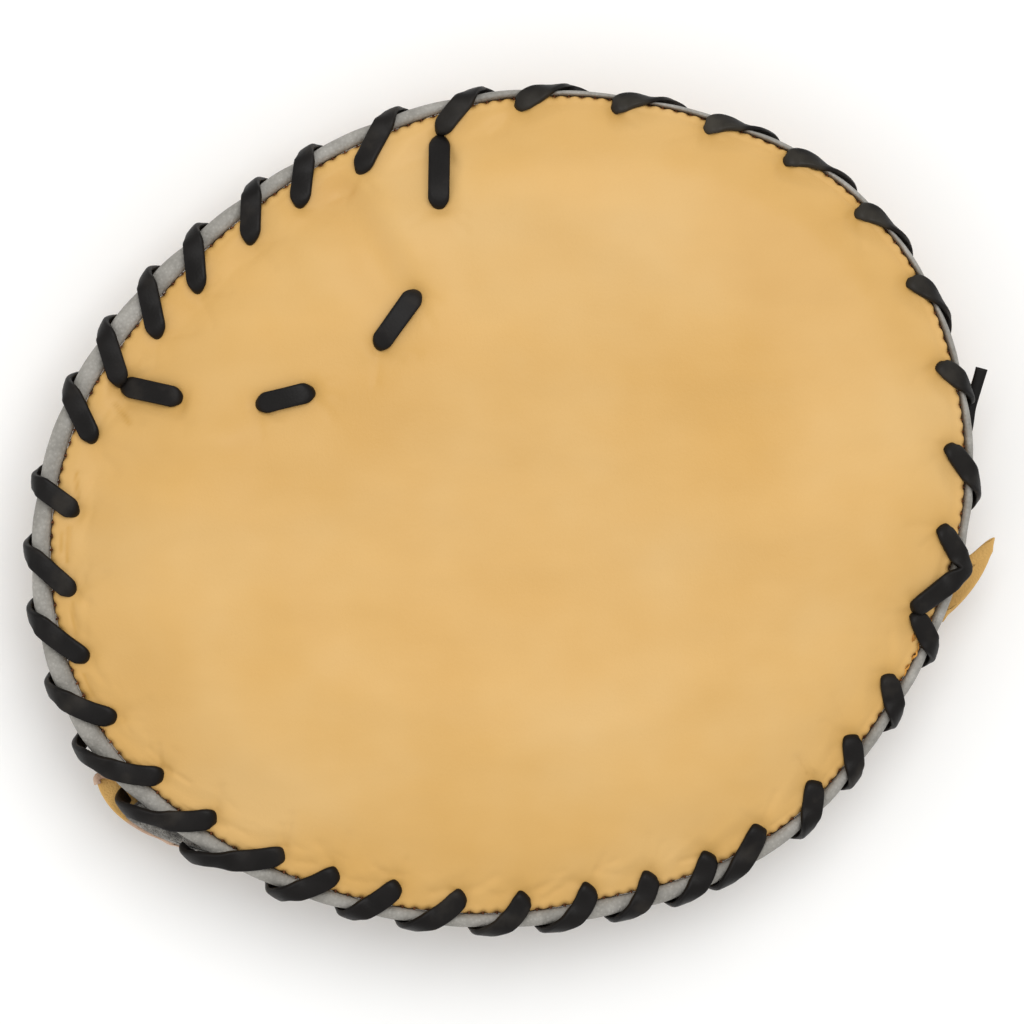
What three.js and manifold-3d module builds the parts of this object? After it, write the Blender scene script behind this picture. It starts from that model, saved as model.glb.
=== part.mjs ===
// A flat, round leather training glove, lying on its back with the palm up.
// Millimetres. +X is right and +Y is up as one looks down on the palm, and +Z points out of the palm.
// Clock angles are in degrees, clockwise from +Y. "Inset" is a distance inwards from the seam round the palm.
import * as THREE from "three";
import { mergeVertices } from "three/addons/utils/BufferGeometryUtils.js";
import Module from "manifold-3d";

// Driving dimensions.
const leather = 2.0; // every cut hide: back shell and wrist strap
const gap = 0.35; // air between two pieces that touch on the real glove
const height = { padUnder: 27.5, seam: 31.0, palmRise: 12.5 };
const lace = {
  width: 5.0,
  thick: 1.8,
  bend: 1.7, // how near to a corner it starts to turn
  clear: 0.52, // air under a lace over and above the gap, because a hide's facets stand proud of its curve
  slack: 0.25, // how much longer than the lace's thickness a slot is at either side
  reach: 2.7, // how far round a point the palm is felt, to lift the lace clear of it
  lean: 6.2, // how many degrees of the rim a stitch crosses on the palm side
  heelLean: 3.2, // how many more it crosses over the end of the strap
  heelProud: 4.2, // how much further out it stands there
};
const palm = {
  pastHole: 1.2, // the flat edge goes on this far past each hole
  shoulderFar: 14,
  shoulderNear: 26,
  farClock: 48, // where the edge rolls over most steeply
  roundFar: 0.85,
  roundNear: 0.3,
  dish: { depth: 4.5, reach: 82, x: 14, y: 2 },
  web: { drop: 3.0, from: 78, over: 30, fromEdge: 12 },
};
const weltRoll = { proud: 0.5, flat: 3.2, strip: 6.6, turned: 0.75, seen: 0.55, sides: 8 };
const back = { flange: 10, wall: 44, floor: 75, held: 0.5 };
const cuff = { y: -26, slope: 0.262, scoop: 15, half: 105, lip: 5.0, lipReach: 16 };
const cuffRoll = { width: 3.0, height: 3.6, fromRim: 18, steps: 24, sides: 8 };
const strap = {
  left: 20.7, // how high its under face is at the left end
  right: 16.2, // and where it meets the rim at the right
  flatHalf: 0.16, // the share of its length, to either side of its middle, that lies flat
  rimLeft: 0.38, // how far from its middle it has come up to the rim
  rimRight: 0.4,
  flare: 18, // how much more it comes up past the rim at the right, over its whole length
  widen: 8, // how much wider it is at its middle
  steps: 30,
};
const lining = { thick: 1.5, margin: 0.04, start: 0.012, end: 0.9, steps: 28 };
const stackEnd = { clock: 228, half: 16, blend: 10 }; // where the strap's end is laced into the rim

// The rim: where the seam runs, how far the welt shows past it, and how far inside it each lace goes down.
const rim = [
  { clock: 0, seam: 103.8, welt: 2.6, inset: 3.4 },
  { clock: 15, seam: 107.6, welt: 1.7, inset: 3.4 },
  { clock: 30, seam: 112.5, welt: 1.9, inset: 3.4 },
  { clock: 45, seam: 118.5, welt: 2.0, inset: 3.4 },
  { clock: 60, seam: 120.8, welt: 2.0, inset: 3.4 },
  { clock: 75, seam: 119.3, welt: 2.4, inset: 4.0 },
  { clock: 90, seam: 116.3, welt: 2.9, inset: 4.9 },
  { clock: 105, seam: 111.6, welt: 3.3, inset: 4.6 },
  { clock: 120, seam: 108.2, welt: 3.4, inset: 3.4 },
  { clock: 135, seam: 107.0, welt: 3.8, inset: 3.4 },
  { clock: 150, seam: 103.8, welt: 4.6, inset: 3.4 },
  { clock: 165, seam: 100.7, welt: 4.9, inset: 4.0 },
  { clock: 180, seam: 101.0, welt: 4.0, inset: 4.6 },
  { clock: 195, seam: 102.7, welt: 3.8, inset: 5.7 },
  { clock: 210, seam: 105.7, welt: 4.4, inset: 4.6 },
  { clock: 225, seam: 109.9, welt: 4.9, inset: 4.4 },
  { clock: 240, seam: 114.2, welt: 5.8, inset: 4.7 },
  { clock: 255, seam: 115.0, welt: 5.5, inset: 5.2 },
  { clock: 270, seam: 112.6, welt: 5.2, inset: 6.3 },
  { clock: 285, seam: 107.9, welt: 5.5, inset: 6.0 },
  { clock: 300, seam: 101.9, welt: 6.0, inset: 6.5 },
  { clock: 315, seam: 98.8, welt: 4.8, inset: 6.5 },
  { clock: 330, seam: 98.3, welt: 4.3, inset: 6.6 },
  { clock: 345, seam: 99.9, welt: 4.0, inset: 6.2 },
];

// The clock angle of each hole of the edge lace, in the order in which the lace takes them.
const holeClocks = [
  106.2, 112.9, 122.6, 130.7, 140.9, 148.6, 157.5, 166.5, 176.3, 185.6, 195.3, 204.3,
  212.3, 223.0, 232.0, 241.8, 250.4, 259.3, 269.9, 279.9, 288.6, 297.1, 306.1, 317.1,
  326.7, 337.5, 350.9, 362.5, 375.8, 388.3, 399.1, 410.0, 420.6, 431.5, 442.0, 451.9,
];
// The last stitch runs out to the strap's tab and back, down a hole, and ends in a loose tail.
const closing = {
  apexClock: 457.0,
  apexOut: 1.6, // how far past the welt it goes
  apexLift: 0.3,
  into: 2.8, // how much nearer to the palm it is halfway there, and halfway back
  outOf: 4.2,
  holeClock: 462.4,
  inset: 5.6,
};
const tail = {
  drop: 2.4, // how far under the other laces it runs
  tuckClock: 447.5,
  tuckOut: -0.5,
  exitClock: 441.0,
  exitOut: 1.2,
  tipClock: 433.6,
  tipRadius: 126.6,
  tipZ: 25.5,
};

// The web lace goes up or down through the palm at each of these places. Every other stretch of it shows.
const webHoles = [
  { x: -15.2, y: 90.6 },
  { x: -15.4, y: 76.6 },
  { x: -20.9, y: 55.0 },
  { x: -30.6, y: 41.4 },
  { x: -47.0, y: 30.2 },
  { x: -60.6, y: 26.9 },
  { x: -80.4, y: 28.6 },
  { x: -91.4, y: 31.0 },
];

const webEnd = 5; // how far the web lace's two ends hang below the palm

// Troughs (depth over 0) and ridges (depth under 0) that use and lacing have pressed into the palm.
const folds = [
  { x1: -43, y1: 86, x2: -27, y2: 57, depth: 2.0, reach: 7.0 },
  { x1: -34, y1: 84, x2: -22, y2: 63, depth: -1.2, reach: 6.0 },
  { x1: -14, y1: 76, x2: -8, y2: 52, depth: 1.2, reach: 9.0 },
  { x1: -99, y1: 30, x2: -66, y2: 25, depth: 1.8, reach: 6.0 },
  { x1: -97, y1: 19, x2: -72, y2: 18, depth: -1.2, reach: 6.0 },
  { x1: -56, y1: 24, x2: -39, y2: -36, depth: 1.2, reach: 9.0 },
];

// The wrist strap's two ends seen from the palm side, from the upper to the lower corner of each.
const strapEnds = {
  left: [{ x: -102.0, y: -65.8 }, { x: -95.0, y: -74.8 }, { x: -81.6, y: -85.0 }],
  right: [{ x: 126.0, y: -6.4 }, { x: 121.4, y: -18.0 }, { x: 111.4, y: -28.6 }],
};

const sectors = 72;
const sectorClocks = Array.from({ length: sectors }, (_, i) => (i * 360) / sectors);

// Small helpers.
const mix = (a, b, t) => a + (b - a) * t;
const clamp = (t) => Math.min(1, Math.max(0, t));
const ease = (t) => clamp(t) ** 2 * (3 - 2 * clamp(t));
const radians = THREE.MathUtils.degToRad;
const bump = (t) => Math.exp(-t * t);

// The angle between two clock angles, from 0 to 180.
const clockGap = (a, b) => Math.abs(((((a - b) % 360) + 540) % 360) - 180);

// A column of the rim table at any clock angle, on a smooth curve through its rows.
function rimAt(column, clock) {
  const pitch = 360 / rim.length;
  const place = (((clock % 360) + 360) % 360) / pitch;
  const row = Math.floor(place);
  const [a, b, c, d] = [-1, 0, 1, 2].map((k) => rim[(row + k + rim.length) % rim.length][column]);
  const t = place - row;
  return b + 0.5 * t * (c - a + t * (2 * a - 5 * b + 4 * c - d + t * (3 * (b - c) + d - a)));
}

const atClock = (clock, radius, z) =>
  new THREE.Vector3(radius * Math.sin(radians(clock)), radius * Math.cos(radians(clock)), z);
const clockOf = (x, y) => THREE.MathUtils.radToDeg(Math.atan2(x, y));
const insetOf = (x, y) => rimAt("seam", clockOf(x, y)) - Math.hypot(x, y);

// How far a clock angle lies on the rolled-over side of the palm, or at the laced end of the strap, from 0 to 1.
const farShare = (clock) => 0.5 + 0.5 * Math.cos(radians(clock - palm.farClock));
const heelShare = (clock) => bump(clockGap(clock, stackEnd.clock) / stackEnd.half);

function distanceToLine(x, y, { x1, y1, x2, y2 }) {
  const along = clamp(((x - x1) * (x2 - x1) + (y - y1) * (y2 - y1)) / ((x2 - x1) ** 2 + (y2 - y1) ** 2));
  return Math.hypot(x - mix(x1, x2, along), y - mix(y1, y2, along));
}

// The height of the palm: pressed flat at the lacing, up over a padded shoulder, and dished in the middle.
function palmTop(x, y) {
  const clock = clockOf(x, y);
  const far = farShare(clock);
  const pressed = palm.pastHole + rimAt("inset", clock);
  const rise = clamp((insetOf(x, y) - pressed) / mix(palm.shoulderNear, palm.shoulderFar, far));
  const round = Math.sqrt(1 - (1 - rise) ** 2);
  const shoulder = mix(ease(rise), round, mix(palm.roundNear, palm.roundFar, far));
  const { dish, web } = palm;
  const dished = dish.depth * ease(1 - Math.hypot(x - dish.x, y - dish.y) / dish.reach);
  const dropped = web.drop * ease((y - x - web.from) / web.over) * ease(insetOf(x, y) / web.fromEdge);
  const pressedIn = folds.reduce((sum, f) => sum + f.depth * bump(distanceToLine(x, y, f) / f.reach), 0);
  const lowered = dished + dropped + pressedIn * ease(insetOf(x, y) / back.flange);
  return height.seam + Math.max(0, height.palmRise * shoulder - lowered);
}

// The cuff is the edge of the back shell where the hand goes in. It runs across the back in a scooped line.
const cuffLine = (x) => cuff.y + cuff.slope * x + cuff.scoop * Math.max(0, 1 - (x / cuff.half) ** 2);

// The outer face of the back shell: flat under the rim, then down in a bowl to the face that it lies on.
function backLow(x, y) {
  const down = ease((insetOf(x, y) - back.flange) / back.wall);
  const lip = cuff.lip * ease(1 - (y - cuffLine(x)) / cuff.lipReach);
  return flangeLow * (1 - down) + lip * down;
}

// A closed solid through a row of sections with equally many points. It closes on itself as a ring, or its ends
// are capped round middle points, which are the middles of the end sections where none are given.
function loft(sections, { ring = false, middles = [] } = {}) {
  const count = sections[0].length;
  const points = sections.flat();
  const faces = [];
  const last = ring ? sections.length : sections.length - 1;
  for (let s = 0; s < last; s++) {
    const here = s * count;
    const next = ((s + 1) % sections.length) * count;
    for (let i = 0; i < count; i++) {
      const j = (i + 1) % count;
      faces.push([here + i, here + j, next + j], [here + i, next + j, next + i]);
    }
  }
  if (!ring) {
    [0, points.length - count].forEach((first, end) => {
      const section = sections.at(end === 0 ? 0 : -1);
      const centre = section.reduce((sum, p) => sum.add(p), new THREE.Vector3()).divideScalar(count);
      points.push(middles[end] ?? centre);
      for (let i = 0; i < count; i++) {
        const [a, b] = [first + i, first + ((i + 1) % count)];
        faces.push(end === 0 ? [b, a, points.length - 1] : [a, b, points.length - 1]);
      }
    });
  }
  const corner = ([a, b, c]) => points[a].dot(points[b].clone().cross(points[c]));
  const volume = faces.reduce((sum, face) => sum + corner(face), 0);
  const outward = volume > 0 ? faces : faces.map(([a, b, c]) => [a, c, b]);
  const geometry = new THREE.BufferGeometry();
  geometry.setAttribute("position", new THREE.Float32BufferAttribute(points.flatMap((p) => p.toArray()), 3));
  geometry.setIndex(outward.flat());
  return geometry;
}

const wasm = await Module();
wasm.setup();

function toSolid(geometry) {
  const bare = geometry.clone();
  bare.deleteAttribute("normal");
  bare.deleteAttribute("uv");
  const merged = mergeVertices(bare, 1e-4);
  return new wasm.Manifold(
    new wasm.Mesh({
      numProp: 3,
      vertProperties: merged.attributes.position.array,
      triVerts: new Uint32Array(merged.index.array),
    }),
  );
}

function toGeometry(solid) {
  const mesh = solid.getMesh();
  const geometry = new THREE.BufferGeometry();
  geometry.setAttribute("position", new THREE.BufferAttribute(new Float32Array(mesh.vertProperties), 3));
  geometry.setIndex(new THREE.BufferAttribute(new Uint32Array(mesh.triVerts), 1));
  return geometry;
}

// Cutting tools reach this far from the middle of the glove, well past it on all sides.
const beyond = 140;
const cut = (solid, cutters) => cutters.reduce((left, cutter) => left.subtract(cutter), solid);

// A ribbon along a route, whose flat side faces the way that outOf(point, along) gives.
function ribbon(route, outOf) {
  const half = { width: lace.width / 2, thick: lace.thick / 2 };
  const sections = route.map((point, i) => {
    const along = route[Math.min(i + 1, route.length - 1)].clone().sub(route[Math.max(i - 1, 0)]).normalize();
    const out = outOf(point, along);
    out.addScaledVector(along, -out.dot(along)).normalize();
    const side = along.clone().cross(out);
    return [[-1, -1], [1, -1], [1, 1], [-1, 1]].map(([w, t]) =>
      point.clone().addScaledVector(side, w * half.width).addScaledVector(out, t * half.thick),
    );
  });
  return loft(sections);
}

// A route through corners, each sharp one rounded off within lace.bend of it.
function rounded(corners) {
  const route = [corners[0]];
  corners.slice(1, -1).forEach((corner, i) => {
    const [before, after] = [corners[i], corners[i + 2]];
    const turn = corner.clone().sub(before).angleTo(after.clone().sub(corner));
    if (turn < radians(30)) {
      route.push(corner);
      return;
    }
    const towards = (p) => corner.clone().lerp(p, Math.min(0.45, lace.bend / corner.distanceTo(p)));
    const bend = new THREE.QuadraticBezierCurve3(towards(before), corner, towards(after));
    route.push(...bend.getPoints(2));
  });
  return [...route, corners.at(-1)];
}

// The edge lace: up a hole, out over the welt, round it, back under the rim and up the next hole. At the lower
// left it takes in the end of the wrist strap and its lining too, so it goes lower and stands further out.
const laceOff = gap + lace.clear + lace.thick / 2;
const flangeLow = height.padUnder - gap - leather;
const strapStack = leather + gap + lining.thick + gap;
const overWelt = height.seam + weltRoll.proud + laceOff;
const fromStack = (clock) => clockGap(clock, stackEnd.clock) - stackEnd.half;
const laced = (clock) => ease(1 - fromStack(clock) / stackEnd.blend);
const underRim = (clock) => flangeLow - laceOff - strapStack * laced(clock);

function rimPoint(clock, outward, z) {
  return atClock(clock, rimAt("seam", clock) + outward, z);
}

// The height at which a lace clears the palm all across its width.
function clearOfPalm(x, y) {
  const around = [0, 60, 120, 180, 240, 300].map((a) => atClock(a, lace.reach, 0));
  return laceOff + Math.max(palmTop(x, y), ...around.map((p) => palmTop(x + p.x, y + p.y)));
}

const overPalm = (clock, outward) => {
  const place = rimPoint(clock, outward, 0);
  return Math.max(overWelt, clearOfPalm(place.x, place.y));
};

// A stitch, as shares of its lean: where it crosses the middle of the rim, and where it turns down and under.
const stitch = { over: 0.5, down: 0.95, under: 1.05 };

function edgeRoute() {
  const corners = [rimPoint(holeClocks[0] - 3, 0.5, underRim(holeClocks[0]))];
  holeClocks.forEach((clock, i) => {
    const deep = lace.thick / 2 - rimAt("inset", clock);
    const lean = lace.lean + lace.heelLean * heelShare(clock);
    const at = (share) => clock + lean * share;
    corners.push(rimPoint(clock, deep, underRim(clock)), rimPoint(clock, deep, overPalm(clock, deep)));
    if (i === holeClocks.length - 1) return;
    const outer = rimAt("welt", at(1)) + laceOff + lace.heelProud * heelShare(at(1));
    const middle = (deep + outer) / 2;
    corners.push(
      rimPoint(at(stitch.over), middle, overPalm(at(stitch.over), middle)),
      rimPoint(at(stitch.down), outer, overWelt),
      rimPoint(at(stitch.under), outer, underRim(at(stitch.under))),
    );
  });
  return rounded([...corners, ...closingStitch()]);
}

// The last stitch, from the last of the holes to the tip of the tail.
function closingStitch() {
  const { apexClock, holeClock } = closing;
  const apexOut = rimAt("welt", apexClock) + closing.apexOut;
  const apexOver = overWelt + closing.apexLift;
  const deep = lace.thick / 2 - closing.inset;
  const below = underRim(holeClock) - tail.drop;
  return [
    rimPoint(mix(holeClocks.at(-1), apexClock, 0.6), apexOut - closing.into, overWelt),
    rimPoint(apexClock, apexOut, apexOver),
    rimPoint(mix(apexClock, holeClock, 0.5), apexOut - closing.outOf, apexOver),
    rimPoint(holeClock, deep, overPalm(holeClock, deep)),
    rimPoint(holeClock, deep, below),
    rimPoint(tail.tuckClock, tail.tuckOut, below),
    rimPoint(tail.exitClock, rimAt("welt", tail.exitClock) + tail.exitOut, mix(below, tail.tipZ, 0.4)),
    atClock(tail.tipClock, tail.tipRadius, tail.tipZ),
  ];
}

// An upright slot that the lace has been pulled through, a little longer than the lace is thick.
function slot(x, y, turn) {
  const across = lace.width + 2 * gap;
  const through = lace.thick + 2 * (gap + lace.slack);
  const block = new THREE.BoxGeometry(across, through, 2 * beyond);
  return toSolid(block.rotateZ(turn).translate(x, y, 0));
}

function edgeSlots() {
  const holes = holeClocks.map((clock) => ({ clock, inset: rimAt("inset", clock) }));
  holes.push({ clock: closing.holeClock, inset: closing.inset });
  return holes.map(({ clock, inset }) => {
    const place = rimPoint(clock, lace.thick / 2 - inset, 0);
    return slot(place.x, place.y, -radians(clock));
  });
}

// The edge lace's flat side faces away from the middle of the rim's stack of hides.
function awayFromRim(point) {
  const clock = clockOf(point.x, point.y);
  const middle = (rimAt("welt", clock) - rimAt("inset", clock)) / 2;
  return point.clone().sub(rimPoint(clock, middle, (overWelt + underRim(clock)) / 2));
}

// The web lace: flat on the palm, down through it, flat under it, and up again.
function webRoute() {
  const under = height.padUnder - laceOff;
  const corners = [];
  webHoles.forEach((hole, i) => {
    const next = webHoles[i + 1];
    const over = new THREE.Vector3(hole.x, hole.y, clearOfPalm(hole.x, hole.y));
    const below = new THREE.Vector3(hole.x, hole.y, next && i > 0 ? under : under - webEnd);
    corners.push(...(i % 2 === 0 ? [below, over] : [over, below]));
    if (i % 2 === 1) return;
    for (const share of [0.25, 0.5, 0.75]) {
      const [x, y] = [mix(hole.x, next.x, share), mix(hole.y, next.y, share)];
      corners.push(new THREE.Vector3(x, y, clearOfPalm(x, y)));
    }
  });
  return rounded(corners);
}

// The way across the web lace, seen from above: square to its run, and halfway between two runs at a hole.
const webRuns = webHoles.slice(1).map((b, i) => ({ x1: webHoles[i].x, y1: webHoles[i].y, x2: b.x, y2: b.y }));

function acrossWeb(x, y) {
  const reach = Math.min(...webRuns.map((run) => distanceToLine(x, y, run))) + lace.bend / 2;
  const near = webRuns.filter((run) => distanceToLine(x, y, run) < reach);
  const across = near.map((run) => new THREE.Vector3(run.y1 - run.y2, run.x2 - run.x1, 0).normalize());
  return across.reduce((sum, way) => sum.add(way)).normalize();
}

const alongWeb = (point, along) => acrossWeb(point.x, point.y).cross(along);

const webSlots = () =>
  webHoles.map((hole) => {
    const across = acrossWeb(hole.x, hole.y);
    return slot(hole.x, hole.y, Math.atan2(across.y, across.x));
  });

// The palm: padding between the hide that meets the ball and the lining under the hand, sewn up at the rim.
function palmPad() {
  const insets = [0, 1.5, 4, 7, 11, 16, 21, 26, 32, 38, 45, 52, 60, 70, 84];
  const ring = (inset, top) =>
    sectorClocks.map((clock) => {
      const place = atClock(clock, rimAt("seam", clock) - inset, height.padUnder);
      if (top) place.z = palmTop(place.x, place.y);
      return place;
    });
  const middles = [new THREE.Vector3(0, 0, height.padUnder), new THREE.Vector3(0, 0, palmTop(0, 0))];
  return loft([ring(0, false), ...insets.map((inset) => ring(inset, true))], { middles });
}

// The corners of a roll's section, as shares of half its width and half its height.
const rollSides = (sides) =>
  Array.from({ length: sides }, (_, i) => {
    const turn = (2 * Math.PI * (i + 0.5)) / sides;
    const round = 1 / Math.cos(Math.PI / sides);
    return [round * Math.cos(turn), round * Math.sin(turn)];
  });

// The welt: a folded strip of grey hide, sewn to the palm's edge and turned down where the palm rolls over.
function welt() {
  const sections = sectorClocks.map((clock) => {
    const width = rimAt("welt", clock) - gap;
    const unseen = Math.max(0, weltRoll.strip - weltRoll.flat - weltRoll.seen * width);
    const tall = weltRoll.flat + weltRoll.turned * unseen;
    const middle = { out: gap + width / 2, z: height.seam + weltRoll.proud - tall / 2 };
    return rollSides(weltRoll.sides).map(([out, up]) =>
      rimPoint(clock, middle.out + (out * width) / 2, middle.z + (up * tall) / 2),
    );
  });
  return loft(sections, { ring: true });
}

// How far to either side two heights are taken to find a slope.
const slopeStep = 0.25;

// The inner face of the back shell lies one hide's thickness in from the outer one, square to it.
function backHigh(clock, inset) {
  const radius = rimAt("seam", clock) - inset;
  const low = (r) => {
    const place = atClock(clock, r, 0);
    return backLow(place.x, place.y);
  };
  const rise = (low(radius + slopeStep) - low(radius - slopeStep)) / (2 * slopeStep);
  const length = Math.hypot(1, rise);
  return atClock(clock, radius - (leather * rise) / length, low(radius) + leather / length);
}

function backShell() {
  const insets = [0, back.flange, 16, 23, 30, 38, 46, back.flange + back.wall, back.floor];
  const outer = insets.map((inset) =>
    sectorClocks.map((clock) => {
      const place = atClock(clock, rimAt("seam", clock) - inset, 0);
      place.z = backLow(place.x, place.y);
      return place;
    }),
  );
  const inner = insets.map((inset) => sectorClocks.map((clock) => backHigh(clock, inset)));
  const middles = [0, leather].map((thick) => new THREE.Vector3(0, 0, backLow(0, 0) + thick));
  const bowl = toSolid(loft([...outer.reverse(), ...inner], { middles }));
  return bowl.subtract(handOpening());
}

// An upright block with the outline of some points seen from above.
function upright(points) {
  const shape = new THREE.Shape(points.map((p) => new THREE.Vector2(p.x, p.y)));
  const geometry = new THREE.ExtrudeGeometry(shape, { depth: 2 * beyond, bevelEnabled: false, steps: 1 });
  return toSolid(geometry.translate(0, 0, -beyond));
}

// The hand opening: all of the back between the cuff and the flange that the lace holds along the heel.
function handOpening() {
  const held = back.flange + back.held;
  const inside = sectorClocks.map((clock) => atClock(clock, rimAt("seam", clock) - held, 0));
  const edge = Array.from({ length: 2 * cuffRoll.steps + 1 }, (_, i) => {
    const x = beyond * (i / cuffRoll.steps - 1);
    return { x, y: cuffLine(x) };
  });
  const below = [...edge, { x: beyond, y: -beyond }, { x: -beyond, y: -beyond }];
  return upright(inside.reverse()).intersect(upright(below.reverse()));
}

// A roll of grey hide that finishes the cuff.
function cuffWelt() {
  const fits = (x) => insetOf(x, cuffLine(x)) > cuffRoll.fromRim;
  const span = Array.from({ length: 2 * beyond }, (_, i) => i - beyond).filter(fits);
  const sections = Array.from({ length: cuffRoll.steps + 1 }, (_, i) => {
    const x = mix(span[0], span.at(-1), i / cuffRoll.steps);
    const tangent = new THREE.Vector2(2, cuffLine(x + 1) - cuffLine(x - 1)).normalize();
    const z = backLow(x, cuffLine(x)) + leather / 2;
    return rollSides(cuffRoll.sides).map(([across, up]) => {
      const out = new THREE.Vector2(tangent.y, -tangent.x).multiplyScalar(gap + (cuffRoll.width / 2) * (1 + across));
      return new THREE.Vector3(x + out.x, cuffLine(x) + out.y, z + (up * cuffRoll.height) / 2);
    });
  });
  return loft(sections);
}

// The parabola that is a at 0, b at a half and c at 1.
const bent = ([a, b, c], t) => a + t * (4 * b - 3 * a - c + t * (2 * a - 4 * b + 2 * c));

// A point of the wrist strap: along it from its left end (0) to its right (1), across it from its upper edge (0).
function strapPlace(along, across) {
  const [left, right] = [strapEnds.left, strapEnds.right].map((end) => ({
    x: bent(end.map((p) => p.x), across),
    y: bent(end.map((p) => p.y), across),
  }));
  const widen = strap.widen * Math.sin(Math.PI * along) * (0.5 - across);
  return { x: mix(left.x, right.x, along), y: mix(left.y, right.y, along) + widen };
}

// The strap's under face: flat where it lies on the ground, up to the lacing at its left end, and up past the
// rim at its right end.
function strapLow(along) {
  const off = Math.abs(along - 0.5);
  const [top, rimAway] = along < 0.5 ? [strap.left, strap.rimLeft] : [strap.right, strap.rimRight];
  const flare = along < 0.5 ? 0 : strap.flare * Math.max(0, off - rimAway);
  return top * ease((off - strap.flatHalf) / (rimAway - strap.flatHalf)) + flare;
}

// A sheet that lies along the strap, from a low face that is so far above the strap's own to a high one.
function strapSheet({ start, end, margin, steps }, low, high) {
  const [from, to] = [strapEnds.left[1], strapEnds.right[1]];
  const length = Math.hypot(to.x - from.x, to.y - from.y);
  const step = slopeStep / length;
  const across = [margin, 0.5, 1 - margin];
  const sections = Array.from({ length: steps + 1 }, (_, i) => {
    const along = mix(start, end, i / steps);
    const rise = (strapLow(along + step) - strapLow(along - step)) / (2 * slopeStep);
    const square = Math.hypot(1, rise);
    const lift = (share, reach) => {
      const place = strapPlace(along - (reach * rise) / (square * length), share);
      return new THREE.Vector3(place.x, place.y, strapLow(along) + reach / square);
    };
    const lowFace = across.map((share) => lift(share, low));
    const highFace = across.map((share) => lift(share, high));
    return [...lowFace, ...highFace.reverse()];
  });
  return loft(sections);
}

const wristStrap = () => strapSheet({ start: 0, end: 1, margin: 0, steps: strap.steps }, 0, leather);
const strapLining = () => strapSheet(lining, leather + gap, leather + gap + lining.thick);

// The finishes, as the photograph shows them.
const finish = (color, roughness) => new THREE.MeshStandardMaterial({ color, roughness, metalness: 0 });
const tanHide = () => finish(0xe2b672, 0.55);
const greyHide = () => finish(0x8e8c85, 0.75);
const greyFelt = () => finish(0x77756f, 0.95);
const blackLace = () => finish(0x25211f, 0.5);

// The edge lace goes through every hide, and only the two ends of the web lace go on through the back.
const rimSlots = edgeSlots();
const palmSlots = webSlots();
const backSlots = [...rimSlots, palmSlots.at(0), palmSlots.at(-1)];

const pieces = [
  ["palm_pad", toGeometry(cut(toSolid(palmPad()), [...rimSlots, ...palmSlots])), tanHide()],
  ["rim_welt", welt(), greyHide()],
  ["back_shell", toGeometry(cut(backShell(), backSlots)), tanHide()],
  ["cuff_welt", cuffWelt(), greyHide()],
  ["wrist_strap", toGeometry(cut(toSolid(wristStrap()), rimSlots)), tanHide()],
  ["strap_lining", toGeometry(cut(toSolid(strapLining()), rimSlots)), greyFelt()],
  ["edge_lace", ribbon(edgeRoute(), awayFromRim), blackLace()],
  ["web_lace", ribbon(webRoute(), alongWeb), blackLace()],
];

const glove = new THREE.Group();
for (const [name, geometry, material] of pieces) {
  const mesh = new THREE.Mesh(geometry, material);
  mesh.name = name;
  glove.add(mesh);
}

// The origin is the middle of the glove's box, on the face that it lies on.
const box = new THREE.Box3().setFromObject(glove);
glove.position.set(-(box.min.x + box.max.x) / 2, -(box.min.y + box.max.y) / 2, -box.min.z);

export default glove;
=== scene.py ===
import bisect
import math
import random

import bmesh
import bpy
from mathutils import Matrix, Vector, kdtree, noise
from mathutils.bvhtree import BVHTree


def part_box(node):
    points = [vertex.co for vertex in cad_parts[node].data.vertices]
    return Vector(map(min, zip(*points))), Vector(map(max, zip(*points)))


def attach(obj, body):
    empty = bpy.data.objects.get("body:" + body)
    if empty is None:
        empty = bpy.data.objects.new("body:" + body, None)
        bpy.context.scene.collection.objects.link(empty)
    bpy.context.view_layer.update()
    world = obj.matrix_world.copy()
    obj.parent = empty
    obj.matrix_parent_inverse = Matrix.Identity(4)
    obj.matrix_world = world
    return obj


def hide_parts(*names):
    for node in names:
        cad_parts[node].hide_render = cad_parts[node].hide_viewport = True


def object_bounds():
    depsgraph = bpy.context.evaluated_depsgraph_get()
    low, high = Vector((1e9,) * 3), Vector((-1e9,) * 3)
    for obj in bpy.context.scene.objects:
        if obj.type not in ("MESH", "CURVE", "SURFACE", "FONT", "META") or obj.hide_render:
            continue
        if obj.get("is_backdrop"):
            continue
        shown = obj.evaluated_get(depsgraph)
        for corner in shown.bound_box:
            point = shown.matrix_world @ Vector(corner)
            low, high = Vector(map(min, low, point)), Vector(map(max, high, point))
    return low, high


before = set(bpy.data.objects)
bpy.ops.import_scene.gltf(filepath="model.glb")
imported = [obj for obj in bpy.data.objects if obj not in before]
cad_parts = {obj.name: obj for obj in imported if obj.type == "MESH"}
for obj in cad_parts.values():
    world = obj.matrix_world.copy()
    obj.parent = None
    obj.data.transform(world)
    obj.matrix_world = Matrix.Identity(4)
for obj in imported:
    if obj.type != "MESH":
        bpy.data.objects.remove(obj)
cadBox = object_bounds()
print("glove: frame loaded")

# The glove is drawn in millimetres round the middle of its rim. Each finished piece is put into the frame.
# Clock angles are degrees, clockwise from +Y. "Out" is a distance outwards from the seam round the palm.
mm = 0.001

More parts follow.
